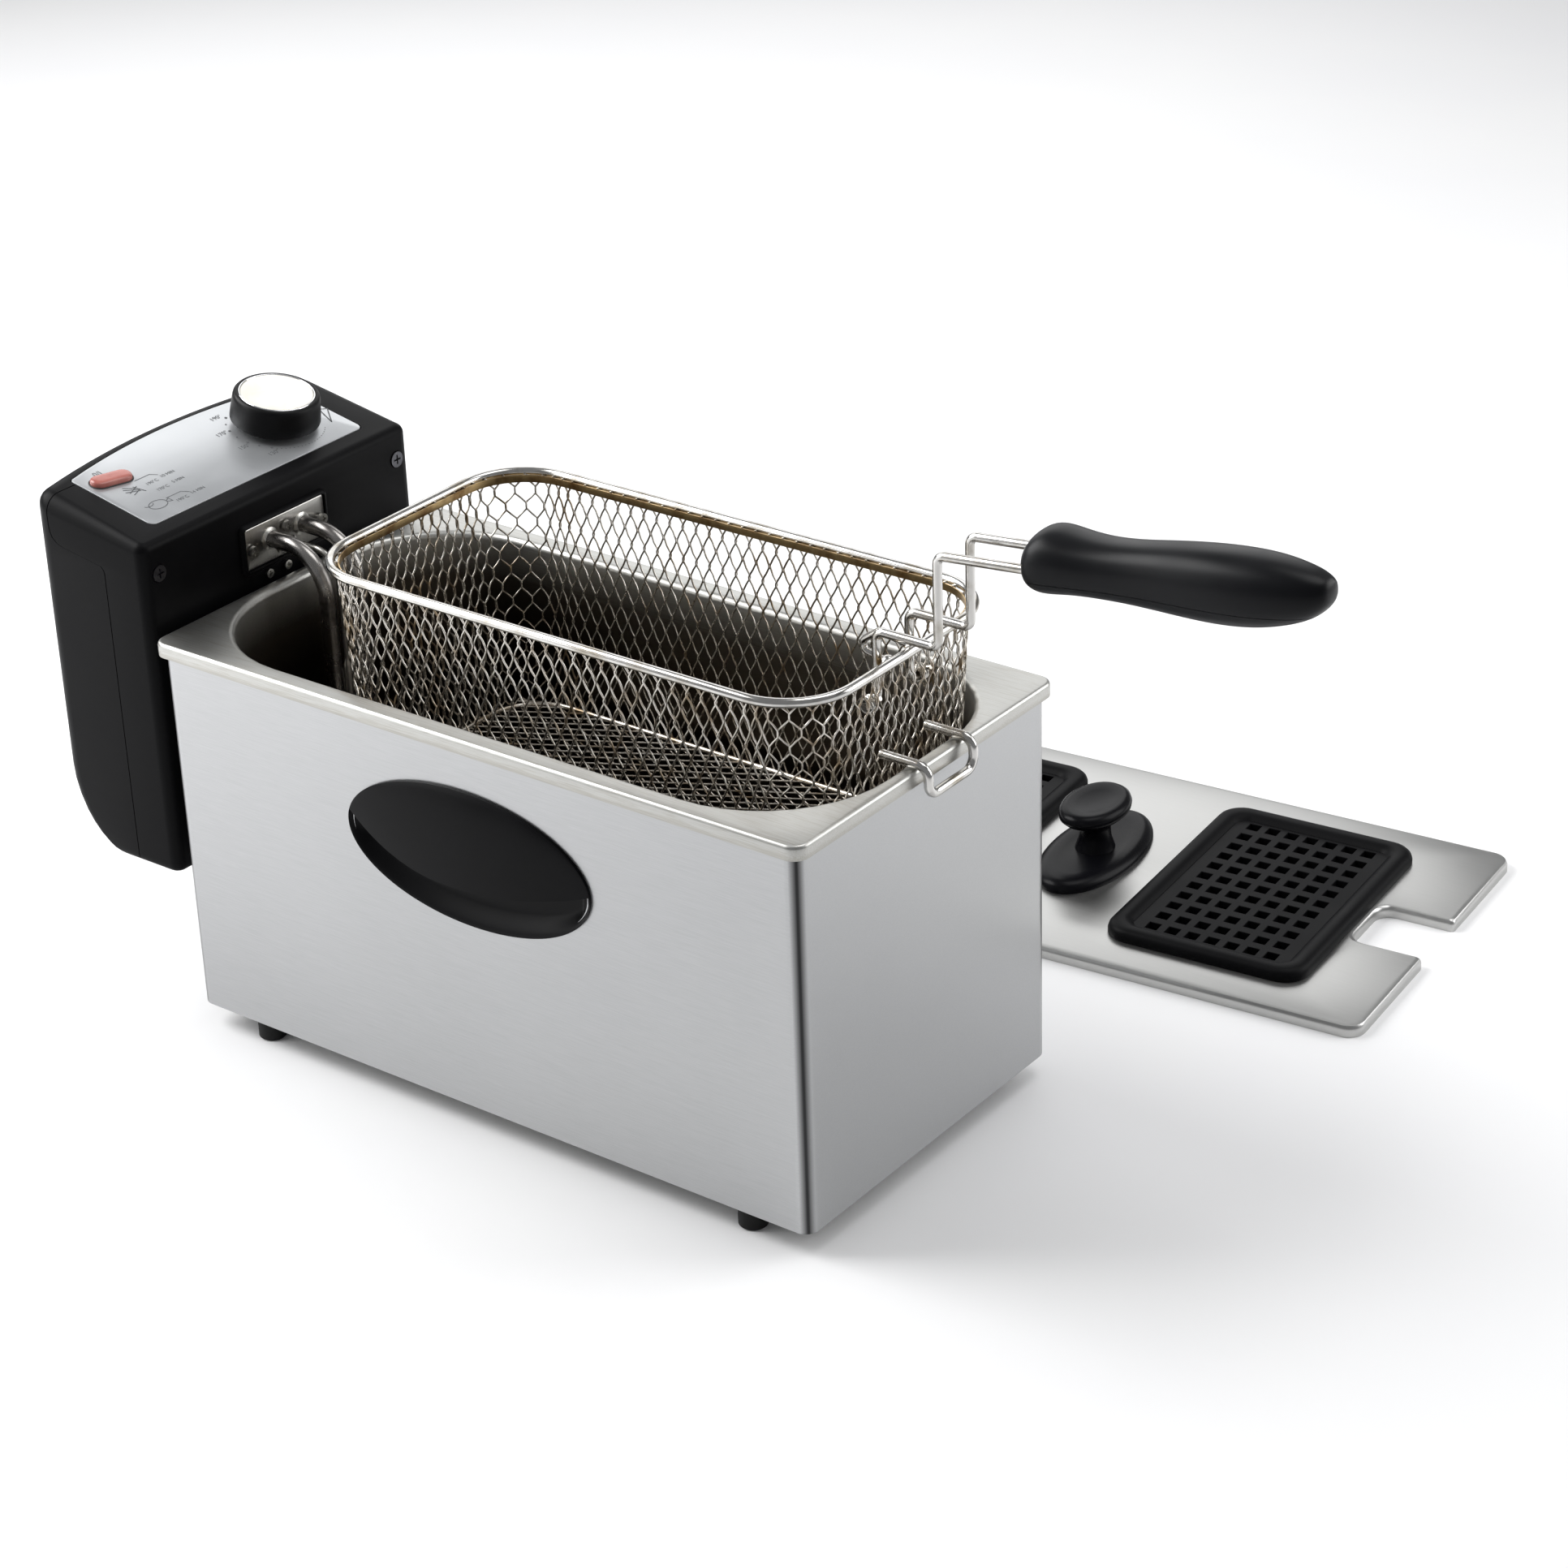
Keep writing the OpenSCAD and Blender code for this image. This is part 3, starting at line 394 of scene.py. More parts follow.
mat_screw_black = plated("screw_black", (0.10, 0.10, 0.11), 0.3)
mat_binding = plated("rim_binding", (0.50, 0.36, 0.18), 0.3, (0.20, 0.11, 0.04))


def side_paint_with_reflection_band():
    """The housing's brushed sheet, with a painted reflection: a dark band painted along its upright corners
    where they bend round.
    """
    paint = brushed("brushed_side", STEEL, 0.34, darkest=0.92, lightest=1.07)
    past = [paint.math("SUBTRACT", paint.math("ABSOLUTE", paint.place(axis), 0), (half - REFLECTION_BAND_WIDTH) * MM)
            for axis, half in (("X", high("housing")[0]), ("Y", high("housing")[1]))]
    # painted reflection: this mask is 1 on the bent upright corners, where the base colour turns near black
    reflection_band_mask = paint.span(paint.math("MINIMUM", *past), 0.0, 1.0, -REFLECTION_BAND_WIDTH * 0.15 * MM, REFLECTION_BAND_WIDTH * 0.5 * MM)
    reflection_band_mix = paint.nodes.new("ShaderNodeMix")
    reflection_band_mix.data_type = "RGBA"
    paint.links.new(reflection_band_mask, reflection_band_mix.inputs["Factor"])
    paint.links.new(paint.shader.inputs["Base Color"].links[0].from_socket, reflection_band_mix.inputs["A"])
    # near-black colour of the painted reflection on the corners
    reflection_band_mix.inputs["B"].default_value = (0.035, 0.035, 0.036, 1)
    paint.feed("Base Color", reflection_band_mix.outputs["Result"])
    return paint.mat


def tank_paint_with_painted_shade():
    """Brushed steel with painted shade: darkened to a dark brown below the tank's rim, darker towards the
    bottom.
    """
    paint, fine, cloud, _ = grained("tank_steel", 0.3, (1, 45, 45))
    # painted shade inside the tank: 0 at 140 mm up, 1 at the rim
    depth = paint.span(paint.place("Z"), 0.0, 1.0, 0.140, 0.1745)
    spread = paint.math("MULTIPLY", paint.math("SUBTRACT", fine, 0.5), 0.3)
    # the two dark brown stops are painted shade; the last two are the steel's own colour
    paint.ramp(paint.math("ADD", depth, spread), (0.0, (0.05, 0.04, 0.03)), (0.55, (0.12, 0.105, 0.085)),
               (0.97, (0.44, 0.43, 0.40)), (1.0, (0.50, 0.50, 0.48)))
    paint.feed("Roughness", paint.span(cloud, 0.34, 0.46))
    return paint.mat


def panel_paint():
    """The silver lacquer of the control panel."""
    paint = Paint("silver_panel", Metallic=0.75)
    cloud = paint.noise(25.0, 3.0)
    paint.blend(cloud, (0.52, 0.535, 0.55), (0.58, 0.595, 0.61))
    paint.feed("Roughness", paint.span(cloud, 0.32, 0.4))
    paint.bump(paint.noise(1500.0, 2.0), 0.05, 0.02)
    return paint.mat


def lens_paint():
    """The smoky red lens of the power button."""
    paint = Paint("red_lens", Roughness=0.2, IOR=1.49)
    paint.shader.inputs["Transmission Weight"].default_value = 0.25
    cloud = paint.noise(60.0, 3.0)
    paint.blend(cloud, (0.42, 0.11, 0.09), (0.62, 0.24, 0.20))
    paint.bump(paint.noise(400.0, 2.0), 0.05, 0.05)
    return paint.mat


def filter_paint():
    paint = Paint("filter_mat")
    fibre = paint.noise(500.0, 6.0)
    paint.blend(fibre, (0.02, 0.02, 0.02), (0.06, 0.06, 0.06))
    paint.feed("Roughness", paint.span(fibre, 0.8, 0.95))
    paint.bump(fibre, 0.5, 0.3)
    return paint.mat


mat_side = side_paint_with_reflection_band()
mat_end = tank_paint_with_painted_shade()
mat_panel = panel_paint()
mat_lens = lens_paint()
mat_filter = filter_paint()


def paint_nodes(material, round_edges, *nodes):
    """Gives CAD nodes that stay their material, and a slight edge rounding in millimetres."""
    for node in nodes:
        piece = NODES[node]
        piece.data.materials.clear()
        piece.data.materials.append(material)
        for polygon in piece.data.polygons:
            polygon.material_index = 0
        if round_edges:
            bevel(piece, round_edges, 2, 40.0)


# ---------------------------------------------------------------- base


def build_base():
    paint_nodes(mat_rubber, 0.4, "foot_1", "foot_2", "foot_3", "foot_4")
    paint_nodes(mat_screw, 0.15, "foot_screws", "guide_rail_screws", "element_plate_screws")
    paint_nodes(mat_side, 0.0, "housing")
    paint_nodes(mat_zinc, 0.0, "base_plate")
    paint_nodes(mat_plate, 0.3, "guide_rail")
    for side, node in ((-1, "side_handle_front"), (1, "side_handle_rear")):
        side_handle(side, node)


def side_handle(side, node):
    """An oval handle: a bulged hood with a crisp lower lip over a crescent-shaped finger recess."""
    centre = middle(node)
    a, _, b = high(node) - centre
    face = side * high("housing")[1]
    rim, bulge, floor = 1.2, 4.6, -3.4
    fold_x, fold_v, fold_left, fold_right = -10.0, -11.5, 85.0, 200.0

    def span(x):
        """Half height of the oval at x."""
        return b * math.sqrt(max(0.0, 1 - (x / a) ** 2))

    def fold(x):
        """Height of the hood's lower lip at x."""
        r = fold_left if x < fold_x else fold_right
        edge = fold_v + r - math.sqrt(r ** 2 - (x - fold_x) ** 2)
        half = span(x)
        return max(-half * 0.985, min(half * 0.985, edge))

    def hood(x, t):
        """Outward height, t from 0 at the lip to 1 at the top edge."""
        dome = max(0.0, 1 - (x / a) ** 2)
        return rim + bulge * dome * (1 - t ** 2.4) ** 0.75

    def recess(x, t):
        """Outward height, t from 0 at the bottom edge to 1 under the lip."""
        ends = min(1.0, max(0.0, (1 - abs(x / a)) * 9))
        wall = min(1.0, t * 1.7)
        return rim + (floor - rim) * ends * wall * wall * (3 - 2 * wall)

    columns = [a * math.sin(math.pi / 2 * (i / 40)) for i in range(-40, 41)]
    low_steps = [0, 0.05, 0.1, 0.17, 0.25, 0.34, 0.44, 0.54, 0.62, 0.8, 1.0]
    high_steps = [0, 0.06, 0.15, 0.28, 0.42, 0.56, 0.69, 0.8, 0.88, 0.94, 0.98, 1.0]
    grid = []
    for x in columns:
        top, lip = span(x), fold(x)
        bottom = -top
        column = [(x, bottom, -5.0), (x, bottom, rim - 0.5)]
        column += [(x, bottom + (lip - bottom) * t, recess(x, t)) for t in low_steps]
        column += [(x, lip, hood(x, 0) - 0.5)]
        column += [(x, lip + (top - lip) * t, hood(x, t)) for t in high_steps]
        column += [(x, top, rim - 0.5), (x, top, -5.0)]
        grid.append([(centre[0] - side * u, face + side * h, centre[2] + v) for u, v, h in column])
    make(node.replace("side", "oval"), *skin(grid), mat_handle, "housing", (node,), 38)


# ---------------------------------------------------------------- tank


def build_tank():
    """A pressed tank: folded skirt, flat flange, rolled edge, drafted walls and a rounded floor."""
    top = high("tank")[2]
    floor = low("tank")[2] + 1
    length, width = 2 * high("tank")[0], 2 * high("tank")[1]
    rings = []

    def ring(l, w, r, z):
        rings.append([(x, y, z) for x, y in rounded_rect(l, w, r, 10)])

    outer_l, outer_w, outer_r, skirt = length, width, 6.5, 6.0
    ring(outer_l - 2, outer_w - 2, outer_r - 1, top - skirt)
    ring(outer_l, outer_w, outer_r, top - skirt)
    fold, open_l, open_w, open_r, roll = 1.6, 312.0, 149.0, 53.0, 2.6
    quarter = [math.radians(angle) for angle in (0, 22.5, 45, 67.5, 90)]
    for t in quarter:
        pull = fold * (1 - math.cos(t))
        ring(outer_l - 2 * pull, outer_w - 2 * pull, outer_r - pull, top - fold * (1 - math.sin(t)))
    for t in quarter:
        spread = roll * (1 - math.sin(t))
        ring(open_l + 2 * spread, open_w + 2 * spread, open_r + spread, top - roll * (1 - math.cos(t)))
    draft, floor_r = 7.0, 12.0

    def wall(inset, z):
        ring(open_l - 2 * inset, open_w - 2 * inset, open_r - inset, z)

    for z in (150, 120, 90, 60, floor + floor_r):
        wall(draft * (top - z) / (top - floor), z)
    for t in quarter[1:]:
        wall(draft + floor_r * (1 - math.cos(t)), floor + floor_r * (1 - math.sin(t)))
    ring(40, 20, 9, floor)
    ring(40, 20, 9, floor - 1)
    for t in quarter[::-2]:
        wall(draft - 1 + floor_r * (1 - math.cos(t)), floor - 1 + floor_r * (1 - math.sin(t)))
    ring(open_l + 1, open_w + 1, open_r + 1, top - 5)
    ring(open_l + 6, open_w + 6, open_r + 4, top - 1.2)
    ring(outer_l - 4, outer_w - 4, outer_r - 2, top - 1.2)
    ring(outer_l - 2, outer_w - 2, outer_r - 1, top - 3)
    make("oil_tank", *skin(rings, loop=True), mat_end, "tank", ("tank",), 50)


# ---------------------------------------------------------------- control head

FRONT = -167.0
BACK = FRONT - 70.0
HEAD_Z = 67.0
TOP_Z = 215.5
SLOPE = 0.2
TILT = math.atan(SLOPE)
NORMAL = np.array([math.sin(TILT), 0.0, math.cos(TILT)])
DOWNHILL = np.array([math.cos(TILT), 0.0, -math.sin(TILT)])


def top_z(x):
    return TOP_Z + SLOPE * (FRONT - x)


def on_top(x, y, up=0.0):
    """The point over plan point (x, y), `up` above the sloped top."""
    return np.array([x, y, top_z(x)]) + NORMAL * up


def placer(x, y, up=0.0):
    """Turns local (downhill, across, up) coordinates at a plan point into the row frame."""
    origin = on_top(x, y, up)

    def place(p):
        return origin + p[0] * DOWNHILL + p[1] * np.array([0.0, 1.0, 0.0]) + p[2] * NORMAL

    return place


def facing(x, y, z):
    """Turns local coordinates, the third along the row's x, into the row frame."""
    return lambda p: (x + p[2], y + p[0], z + p[1])


def head_outline(inset):
    """The head from above: straight front and sides, a bowed back, round corners."""
    bow = 360.0 - inset
    half = 80.0 - inset
    front = FRONT - inset
    back_r, front_r = 9.0, 5.0 - min(inset, 3.0)
    centre = BACK + 360.0
    r = max(2.0, back_r - inset)
    # back corner: a circle tangent to the side and to the bow
    cy = half - r
    cx = centre - math.sqrt((bow - r) ** 2 - cy ** 2)
    angle = math.degrees(math.atan2(cy, cx - centre))
    side = arc(front - front_r, half - front_r, front_r, 0, 90, 6) + arc(cx, cy, r, 90, angle, 6)
    return side + arc(centre, 0, bow, angle + 0.3, 360 - angle - 0.3, 16) + mirrored(side)


def head_solid(name, inset, edge):
    """Rings stacked up the head; the back of each ring follows the rounded lower back edge."""
    rings = []
    front, back = FRONT - inset, BACK + inset
    bottom_r = 36.0 - inset
    levels = [0, 0.3, 0.8, 1.5, 2.5, 4, 7, 11, 16, 22, 29, 36, 50, 66, 84, 104, 120, 134]
    low_z = HEAD_Z + inset

    def squeeze(outline, z):
        """Pulls points forward where the lower back edge is rounded."""
        rise = z - low_z
        if rise >= bottom_r:
            return outline
        limit = back + bottom_r - math.sqrt(max(0.0, bottom_r ** 2 - (bottom_r - rise) ** 2))
        scale = (front - limit) / (front - back)
        return [(front + (x - front) * (1 if x > FRONT - 10 else scale), y) for x, y in outline]

    corner = 3.0
    for level in levels:
        z = low_z + level
        pull = corner * (1 - math.sqrt(max(0.0, 1 - (1 - min(1.0, level / corner)) ** 2)))
        rings.append([(x, y, z) for x, y in squeeze(head_outline(inset + pull), z)])
    # the sloped top, with a rounded edge
    front_edge = edge * 0.45
    base = head_outline(inset)
    for i in range(9):
        t = math.radians(90 * i / 8)
        wide = head_outline(inset + edge * (1 - math.cos(t)))
        tight = head_outline(inset + front_edge * (1 - math.cos(t)))
        ring = []
        for (bx, _), (wx, wy), (tx, ty) in zip(base, wide, tight):
            w = min(1.0, max(0.0, (front - bx) / 14.0))
            x, y = tx + (wx - tx) * w, ty + (wy - ty) * w
            drop = (front_edge + (edge - front_edge) * w) * (1 - math.sin(t)) + inset
            ring.append((x, y, top_z(x) - drop))
        rings.append(ring)
    return raw(name, *skin(rings))


def front_zone(gap):
    """The prism that holds the front shell: its edge is the parting line."""
    x = FRONT - 23.0 + gap
    # how far behind x the line runs, and its height
    line = ((0, 0), (0, 199.6), (0.5, 201.0), (1.8, 202.2), (23, 205.6), (26.5, 206.6), (29, 208.8),
            (30.2, 212.4), (30.4, 218), (29.8, 226), (29, 260))
    outline = [(-100, 0)] + [(x - behind, z) for behind, z in line] + [(-100, 260)]
    verts, faces = prism(outline, -120, 120)
    return raw("zone", [(vx, vz, vy) for vx, vy, vz in verts], faces)


def panel_outline(grow, steps=14):
    """The silver panel from above."""
    half, front = 63.0 + grow, FRONT - 10.0 + grow
    bow = 300.0 + grow
    centre = FRONT - 62.8 + 300.0
    turn = math.degrees(math.asin((half - 1.0) / bow))
    back = arc(centre, 0, bow, 180 - turn, 180 + turn, steps)
    r = 3.0
    corner = arc(front - r, half - r, r, 0, 90, 5)
    return corner + [(back[0][0] + 1.0, half)] + back + [(back[-1][0] + 1.0, -half)] + mirrored(corner)


def sloped_prism(outline, low_up, high_up, rounded=0.0):
    """A plate over a plan outline, parallel to the sloped top."""
    rings = [[on_top(x, y, low_up) for x, y in outline(0.0)]]
    if rounded:
        rings.append([on_top(x, y, high_up - rounded) for x, y in outline(0.0)])
        rings.append([on_top(x, y, high_up - rounded * 0.3) for x, y in outline(-rounded * 0.3)])
    rings.append([on_top(x, y, high_up) for x, y in outline(-rounded)])
    return skin(rings)


def build_head():
    outer = head_solid("front_shell", 0.0, 7.0)
    carve(outer, head_solid("inner", 2.5, 5.0))
    # openings in the front: depth, half width, bottom and top
    openings = (("rail_slot", 5, 12.5, 50, 160.3), ("rail_notch", 6.5, 19, 50, 69.6),
                ("legs", 6, 16, 187.5, 199.5))
    for name, depth, half, z0, z1 in openings:
        carve(outer, raw(name, *block((FRONT - depth, -half, z0), (FRONT + 5, half, z1))))
    bore = [(0, 0), (3.8, 0), (3.8, 8), (0, 8)]
    for y, z in ((-71.5, 202.0), (71.5, 202.0), (-60, 80), (60, 80)):
        carve(outer, raw("counterbore", *lathe(bore, facing(FRONT - 1.2, y, z), 24)))
    carve(outer, raw("panel_bed", *sloped_prism(lambda g: panel_outline(0.35 + g), -0.8, 6)))
    for i in range(-3, 4):
        slot = rounded_rect(3, 24, 1.49, 5, i * 8.0, 150.0)
        carve(outer, raw("vent", *skin([[(BACK + x, y, z) for y, z in slot] for x in (-4, 6)])))
    rear = duplicate(outer, "rear_shell")
    carve(outer, front_zone(0.22), "INTERSECT")
    carve(rear, front_zone(-0.22))
    for piece, node in ((outer, "head_front_shell"), (rear, "head_rear_shell")):
        dress(piece, mat_black, "control_head", (node,), 28)
        bevel(piece, 0.35, 2, 50.0)
    build_panel()
    build_knob()
    build_button()
    build_element_plate()


def build_panel():
    sheet = sloped_prism(panel_outline, -0.7, 0.25, 0.3)
    panel = make("control_panel", *sheet, mat_panel, "control_head", ("top_panel",), 30)
    knob_hole = lathe([(0, -5), (4, -5), (4, 5), (0, 5)], placer(KNOB_X, KNOB_Y), 32)
    carve(panel, raw("knob_hole", *knob_hole))
    carve(panel, raw("button_hole", *skin([button_ring(0.35, -5), button_ring(0.35, 5)])))
    dress(panel, mat_panel, "control_head", (), 30)
    print_panel()


KNOB_X, KNOB_Y = FRONT - 35.5, 36.0
PRINT_LIFT = 0.34
BUTTON_X, BUTTON_Y = FRONT - 45.5, -50.5
BUTTON_L, BUTTON_W = 19.0, 8.0
BUTTON_TURN = math.radians(-13.0)


def stroke(place, points, width=0.35, lift=PRINT_LIFT):
    """A thin printed line through local (downhill, across) points."""
    parts = []
    for (x0, y0), (x1, y1) in zip(points, points[1:]):
        d = np.array([x1 - x0, y1 - y0])
        length = np.linalg.norm(d)
        if length < 1e-6:
            continue
        n = np.array([-d[1], d[0]]) / length * width / 2
        e = d / length * width * 0.3
        quad = [(x0 - e[0] + n[0], y0 - e[1] + n[1]), (x1 + e[0] + n[0], y1 + e[1] + n[1]),
                (x1 + e[0] - n[0], y1 + e[1] - n[1]), (x0 - e[0] - n[0], y0 - e[1] - n[1])]
        parts.append(([place((x, y, lift)) for x, y in quad], [(0, 1, 2, 3)]))
    return join_parts(parts)


def dot(place, x, y, radius, lift=PRINT_LIFT, steps=14):
    ring = [place((x + radius * math.cos(a), y + radius * math.sin(a), lift))
            for a in np.linspace(0, 2 * math.pi, steps, endpoint=False)]
    return ring, [tuple(range(steps))]


def printed_text(text, place, x, y, size, turn):
    """Digits and signs as a flat mesh on the panel; turn is in degrees about the panel's normal."""
    curve = bpy.data.curves.new("print", "FONT")
    curve.body = text
    curve.size = size
    curve.align_x = "CENTER"
    curve.align_y = "CENTER"
    holder = bpy.data.objects.new("print", curve)
    bpy.context.scene.collection.objects.link(holder)
    bpy.context.view_layer.update()
    graph = bpy.context.evaluated_depsgraph_get()
    mesh = bpy.data.meshes.new_from_object(holder.evaluated_get(graph))
    c, s = math.cos(math.radians(turn)), math.sin(math.radians(turn))
    verts = [place((x + c * v.co.x - s * v.co.y, y + s * v.co.x + c * v.co.y, PRINT_LIFT))
             for v in mesh.vertices]
    faces = [tuple(p.vertices) for p in mesh.polygons]
    bpy.data.objects.remove(holder)
    bpy.data.curves.remove(curve)
    bpy.data.meshes.remove(mesh)
    return verts, faces


def print_panel():
    """Dial marks and cooking hints: dots, degree numbers, simple signs."""
    knob = placer(KNOB_X, KNOB_Y)
    marks = []

    def polar(r, angle, turn=0.0):
        """A point at radius r round the knob, angle in degrees from downhill, turn in radians."""
        t = math.radians(angle) + turn
        return r * math.cos(t), r * math.sin(t)

    for angle, label in ((-144, "190°"), (-128, ""), (-112, "170°"), (-96, ""), (-80, "150°"), (-65, ""),
                         (-50, "130°")):
        marks.append(dot(knob, *polar(20.9, angle), 0.65 if label else 0.4))
        if label:
            marks.append(printed_text(label, knob, *polar(25.0, angle, 0.05), 3.4, 90))
    for angle in range(-44, 44, 5):
        marks.append(dot(knob, *polar(21.3, angle), 0.25))
    wedge = ((24.0, 82), (27.6, 79), (24.6, 54), (24.0, 82))
    marks.append(stroke(knob, [polar(r, angle) for r, angle in wedge], 0.5))
    hint = placer(BUTTON_X, BUTTON_Y)
    marks.append(printed_text("0/I", hint, -7.6, -0.5, 4.0, 90))
    chips = ((7.5, -1.0, 11.0, 3.0), (9.0, -2.0, 12.5, 3.5), (11.0, -2.5, 13.5, 3.5), (12.5, -1.5, 10.0, 4.5),
             (14.5, -1.0, 12.5, 4.0), (9.5, 3.0, 15.0, 5.0))
    for x0, y0, x1, y1 in chips:
        marks.append(stroke(hint, [(x0, y0), (x1, y1)], 0.45))
    bird = [(26.0 + 3.0 * math.sin(a), 1.0 + 4.6 * math.cos(a)) for a in np.linspace(0, 2 * math.pi, 24)]
    bird += [(25.0, 7.6), (27.6, 7.8), (26.6, 5.2)]
    marks.append(stroke(hint, bird, 0.35))
    wing = [(24.0 + 1.2 * math.sin(a), -2.5 + 2.4 * math.cos(a)) for a in np.linspace(0, 3, 9)]
    marks.append(stroke(hint, wing, 0.3))
    for row, line, temperature, minutes in ((11.6, 6.4, "190°C", "10 MIN"), (17.8, 17.8, "170°C", "5 MIN"),
                                            (29.0, 24.5, "190°C", "14 MIN")):
        if line < row:
            marks.append(stroke(hint, [(line, 7.0), (line, 15.5), (line + 2.4, 18.0)], 0.3))
        marks.append(printed_text(temperature, hint, row, 12.0, 2.6, 90))
        marks.append(printed_text(minutes, hint, row - 0.8, 21.5, 2.6, 90))
    make("panel_print", *join_parts(marks), mat_ink, "control_head")


def build_knob():
    place = placer(KNOB_X, KNOB_Y)
    r, h, foot = 19.4, 15.6, 3.0
    profile = [(0, 0.8), (5.5, 0.8), (5.5, foot + 0.3), (r - 0.9, foot), (r - 0.2, foot + 0.2),
               (r, foot + 0.8), (r - 0.3, foot + 5.0), (r - 0.7, h - 2.4), (r - 1.0, h - 1.1),
               (r - 1.6, h - 0.35), (r - 2.3, h - 0.05), (r - 2.9, h - 0.2), (r - 3.1, h - 1.3), (0, h - 1.3)]
    make("dial_knob", *lathe(profile, place, 72), mat_knob, "knob", ("thermostat_knob",), 40)
    rim = [(r - 3.8, h - 1.4), (r - 3.1, h - 1.4), (r - 3.0, h - 0.3), (r - 3.2, h), (r - 3.5, h + 0.05),
           (r - 3.75, h - 0.1), (r - 3.8, h - 0.5)]
    make("dial_ring", *lathe(rim, place, 72, loop=True), mat_ring, "knob", ("knob_ring",), 60)
    cap = [(0, h - 1.3), (r - 3.85, h - 1.3), (r - 3.85, h - 0.5), (r - 4.2, h - 0.15), (r - 7, h + 0.05),
           (0, h + 0.2)]
    make("dial_insert", *lathe(cap, place, 72), mat_cream, "knob", ("knob_insert",), 40)
    half, outer = 0.45, -r - 0.05
    corners = ((outer, -half, foot + 5.0), (outer, half, foot + 5.0), (outer + 0.75, half, h - 1.8),
               (outer + 0.75, -half, h - 1.8))
    verts = [place(corner) for corner in corners]
    verts += [v + 0.5 * DOWNHILL for v in verts]
    faces = [(0, 1, 2, 3), (4, 5, 6, 7), (0, 1, 5, 4), (2, 3, 7, 6), (0, 3, 7, 4), (1, 2, 6, 5)]
    make("dial_pointer", verts, faces, mat_cream, "knob")
    paint_nodes(mat_zinc, 0.0, "thermostat_shaft")


def button_ring(grow, up):
    """The power button's outline, grown by `grow`, at a height over the panel."""
    place = placer(BUTTON_X, BUTTON_Y)
    c, s = math.cos(BUTTON_TURN), math.sin(BUTTON_TURN)
    w, l = BUTTON_W + 2 * grow, BUTTON_L + 2 * grow
    return [place((c * x - s * y, s * x + c * y, up)) for x, y in rounded_rect(w, l, w / 2 - 0.01, 8)]


def build_button():
    steps = ((0, -5), (0, 1.2), (0.2, 1.9), (0.6, 2.3), (1.4, 2.55), (2.6, 2.6))
    lens = [button_ring(-pull, up) for pull, up in steps]
    make("power_lens", *skin(lens), mat_lens, "button", ("power_button",), 50)
    paint = plastic("button_well", (0.02, 0.02, 0.02), 0.5)
    bezel = [button_ring(grow, up) for grow, up in
             ((0.15, 0.1), (0.15, 0.6), (0.4, 0.65), (0.6, 0.5), (0.65, 0.25), (0.65, 0.1))]
    make("button_bezel", *skin(bezel, loop=True), paint, "control_head", (), 50)


def build_element_plate():
    """The steel plate in its raised black frame, where tubes and sensors come out."""
    frame_low, frame_high = (-25.9, 182.6), (25.9, 205.4)
    cy, cz = 0.0, (frame_low[1] + frame_high[1]) / 2
    w, h = frame_high[0] - frame_low[0], frame_high[1] - frame_low[1]

    def ring(x, inset, r):
        return [(x, y, z) for y, z in rounded_rect(w - 2 * inset, h - 2 * inset, r, 5, cy, cz)]

    rings = [ring(FRONT - 0.4, 0, 2.4), ring(FRONT + 1.3, 0.2, 2.4), ring(FRONT + 2.0, 0.9, 2.0),
             ring(FRONT + 2.1, 1.8, 1.4), ring(FRONT + 0.6, 2.2, 1.1), ring(FRONT - 0.4, 2.2, 1.1)]
    make("plate_frame", *skin(rings, loop=True), mat_black, "control_head", (), 40)
    plate = [ring(FRONT + 0.5, 2.3, 1.0), ring(FRONT + 1.1, 2.3, 1.0), ring(FRONT + 1.3, 2.6, 0.8)]
    make("leg_plate", *skin(plate), mat_plate, "control_head", ("element_plate",), 40)
    collars = []
    for y, z, r in ((-9.5, 195, 3.5), (9.5, 195, 3.5), (-3, 189, 1.5), (3, 189, 1.5)):
        profile = [(r, -1), (r + 1.5, -1), (r + 1.4, 0.3), (r + 0.5, 0.7), (r, 1.2)]
        collars.append(lathe(profile, facing(FRONT + 1.4, y, z), 28, loop=True))
    make("tube_collars", *join_parts(collars), mat_screw, "control_head", (), 50)


# ---------------------------------------------------------------- heating


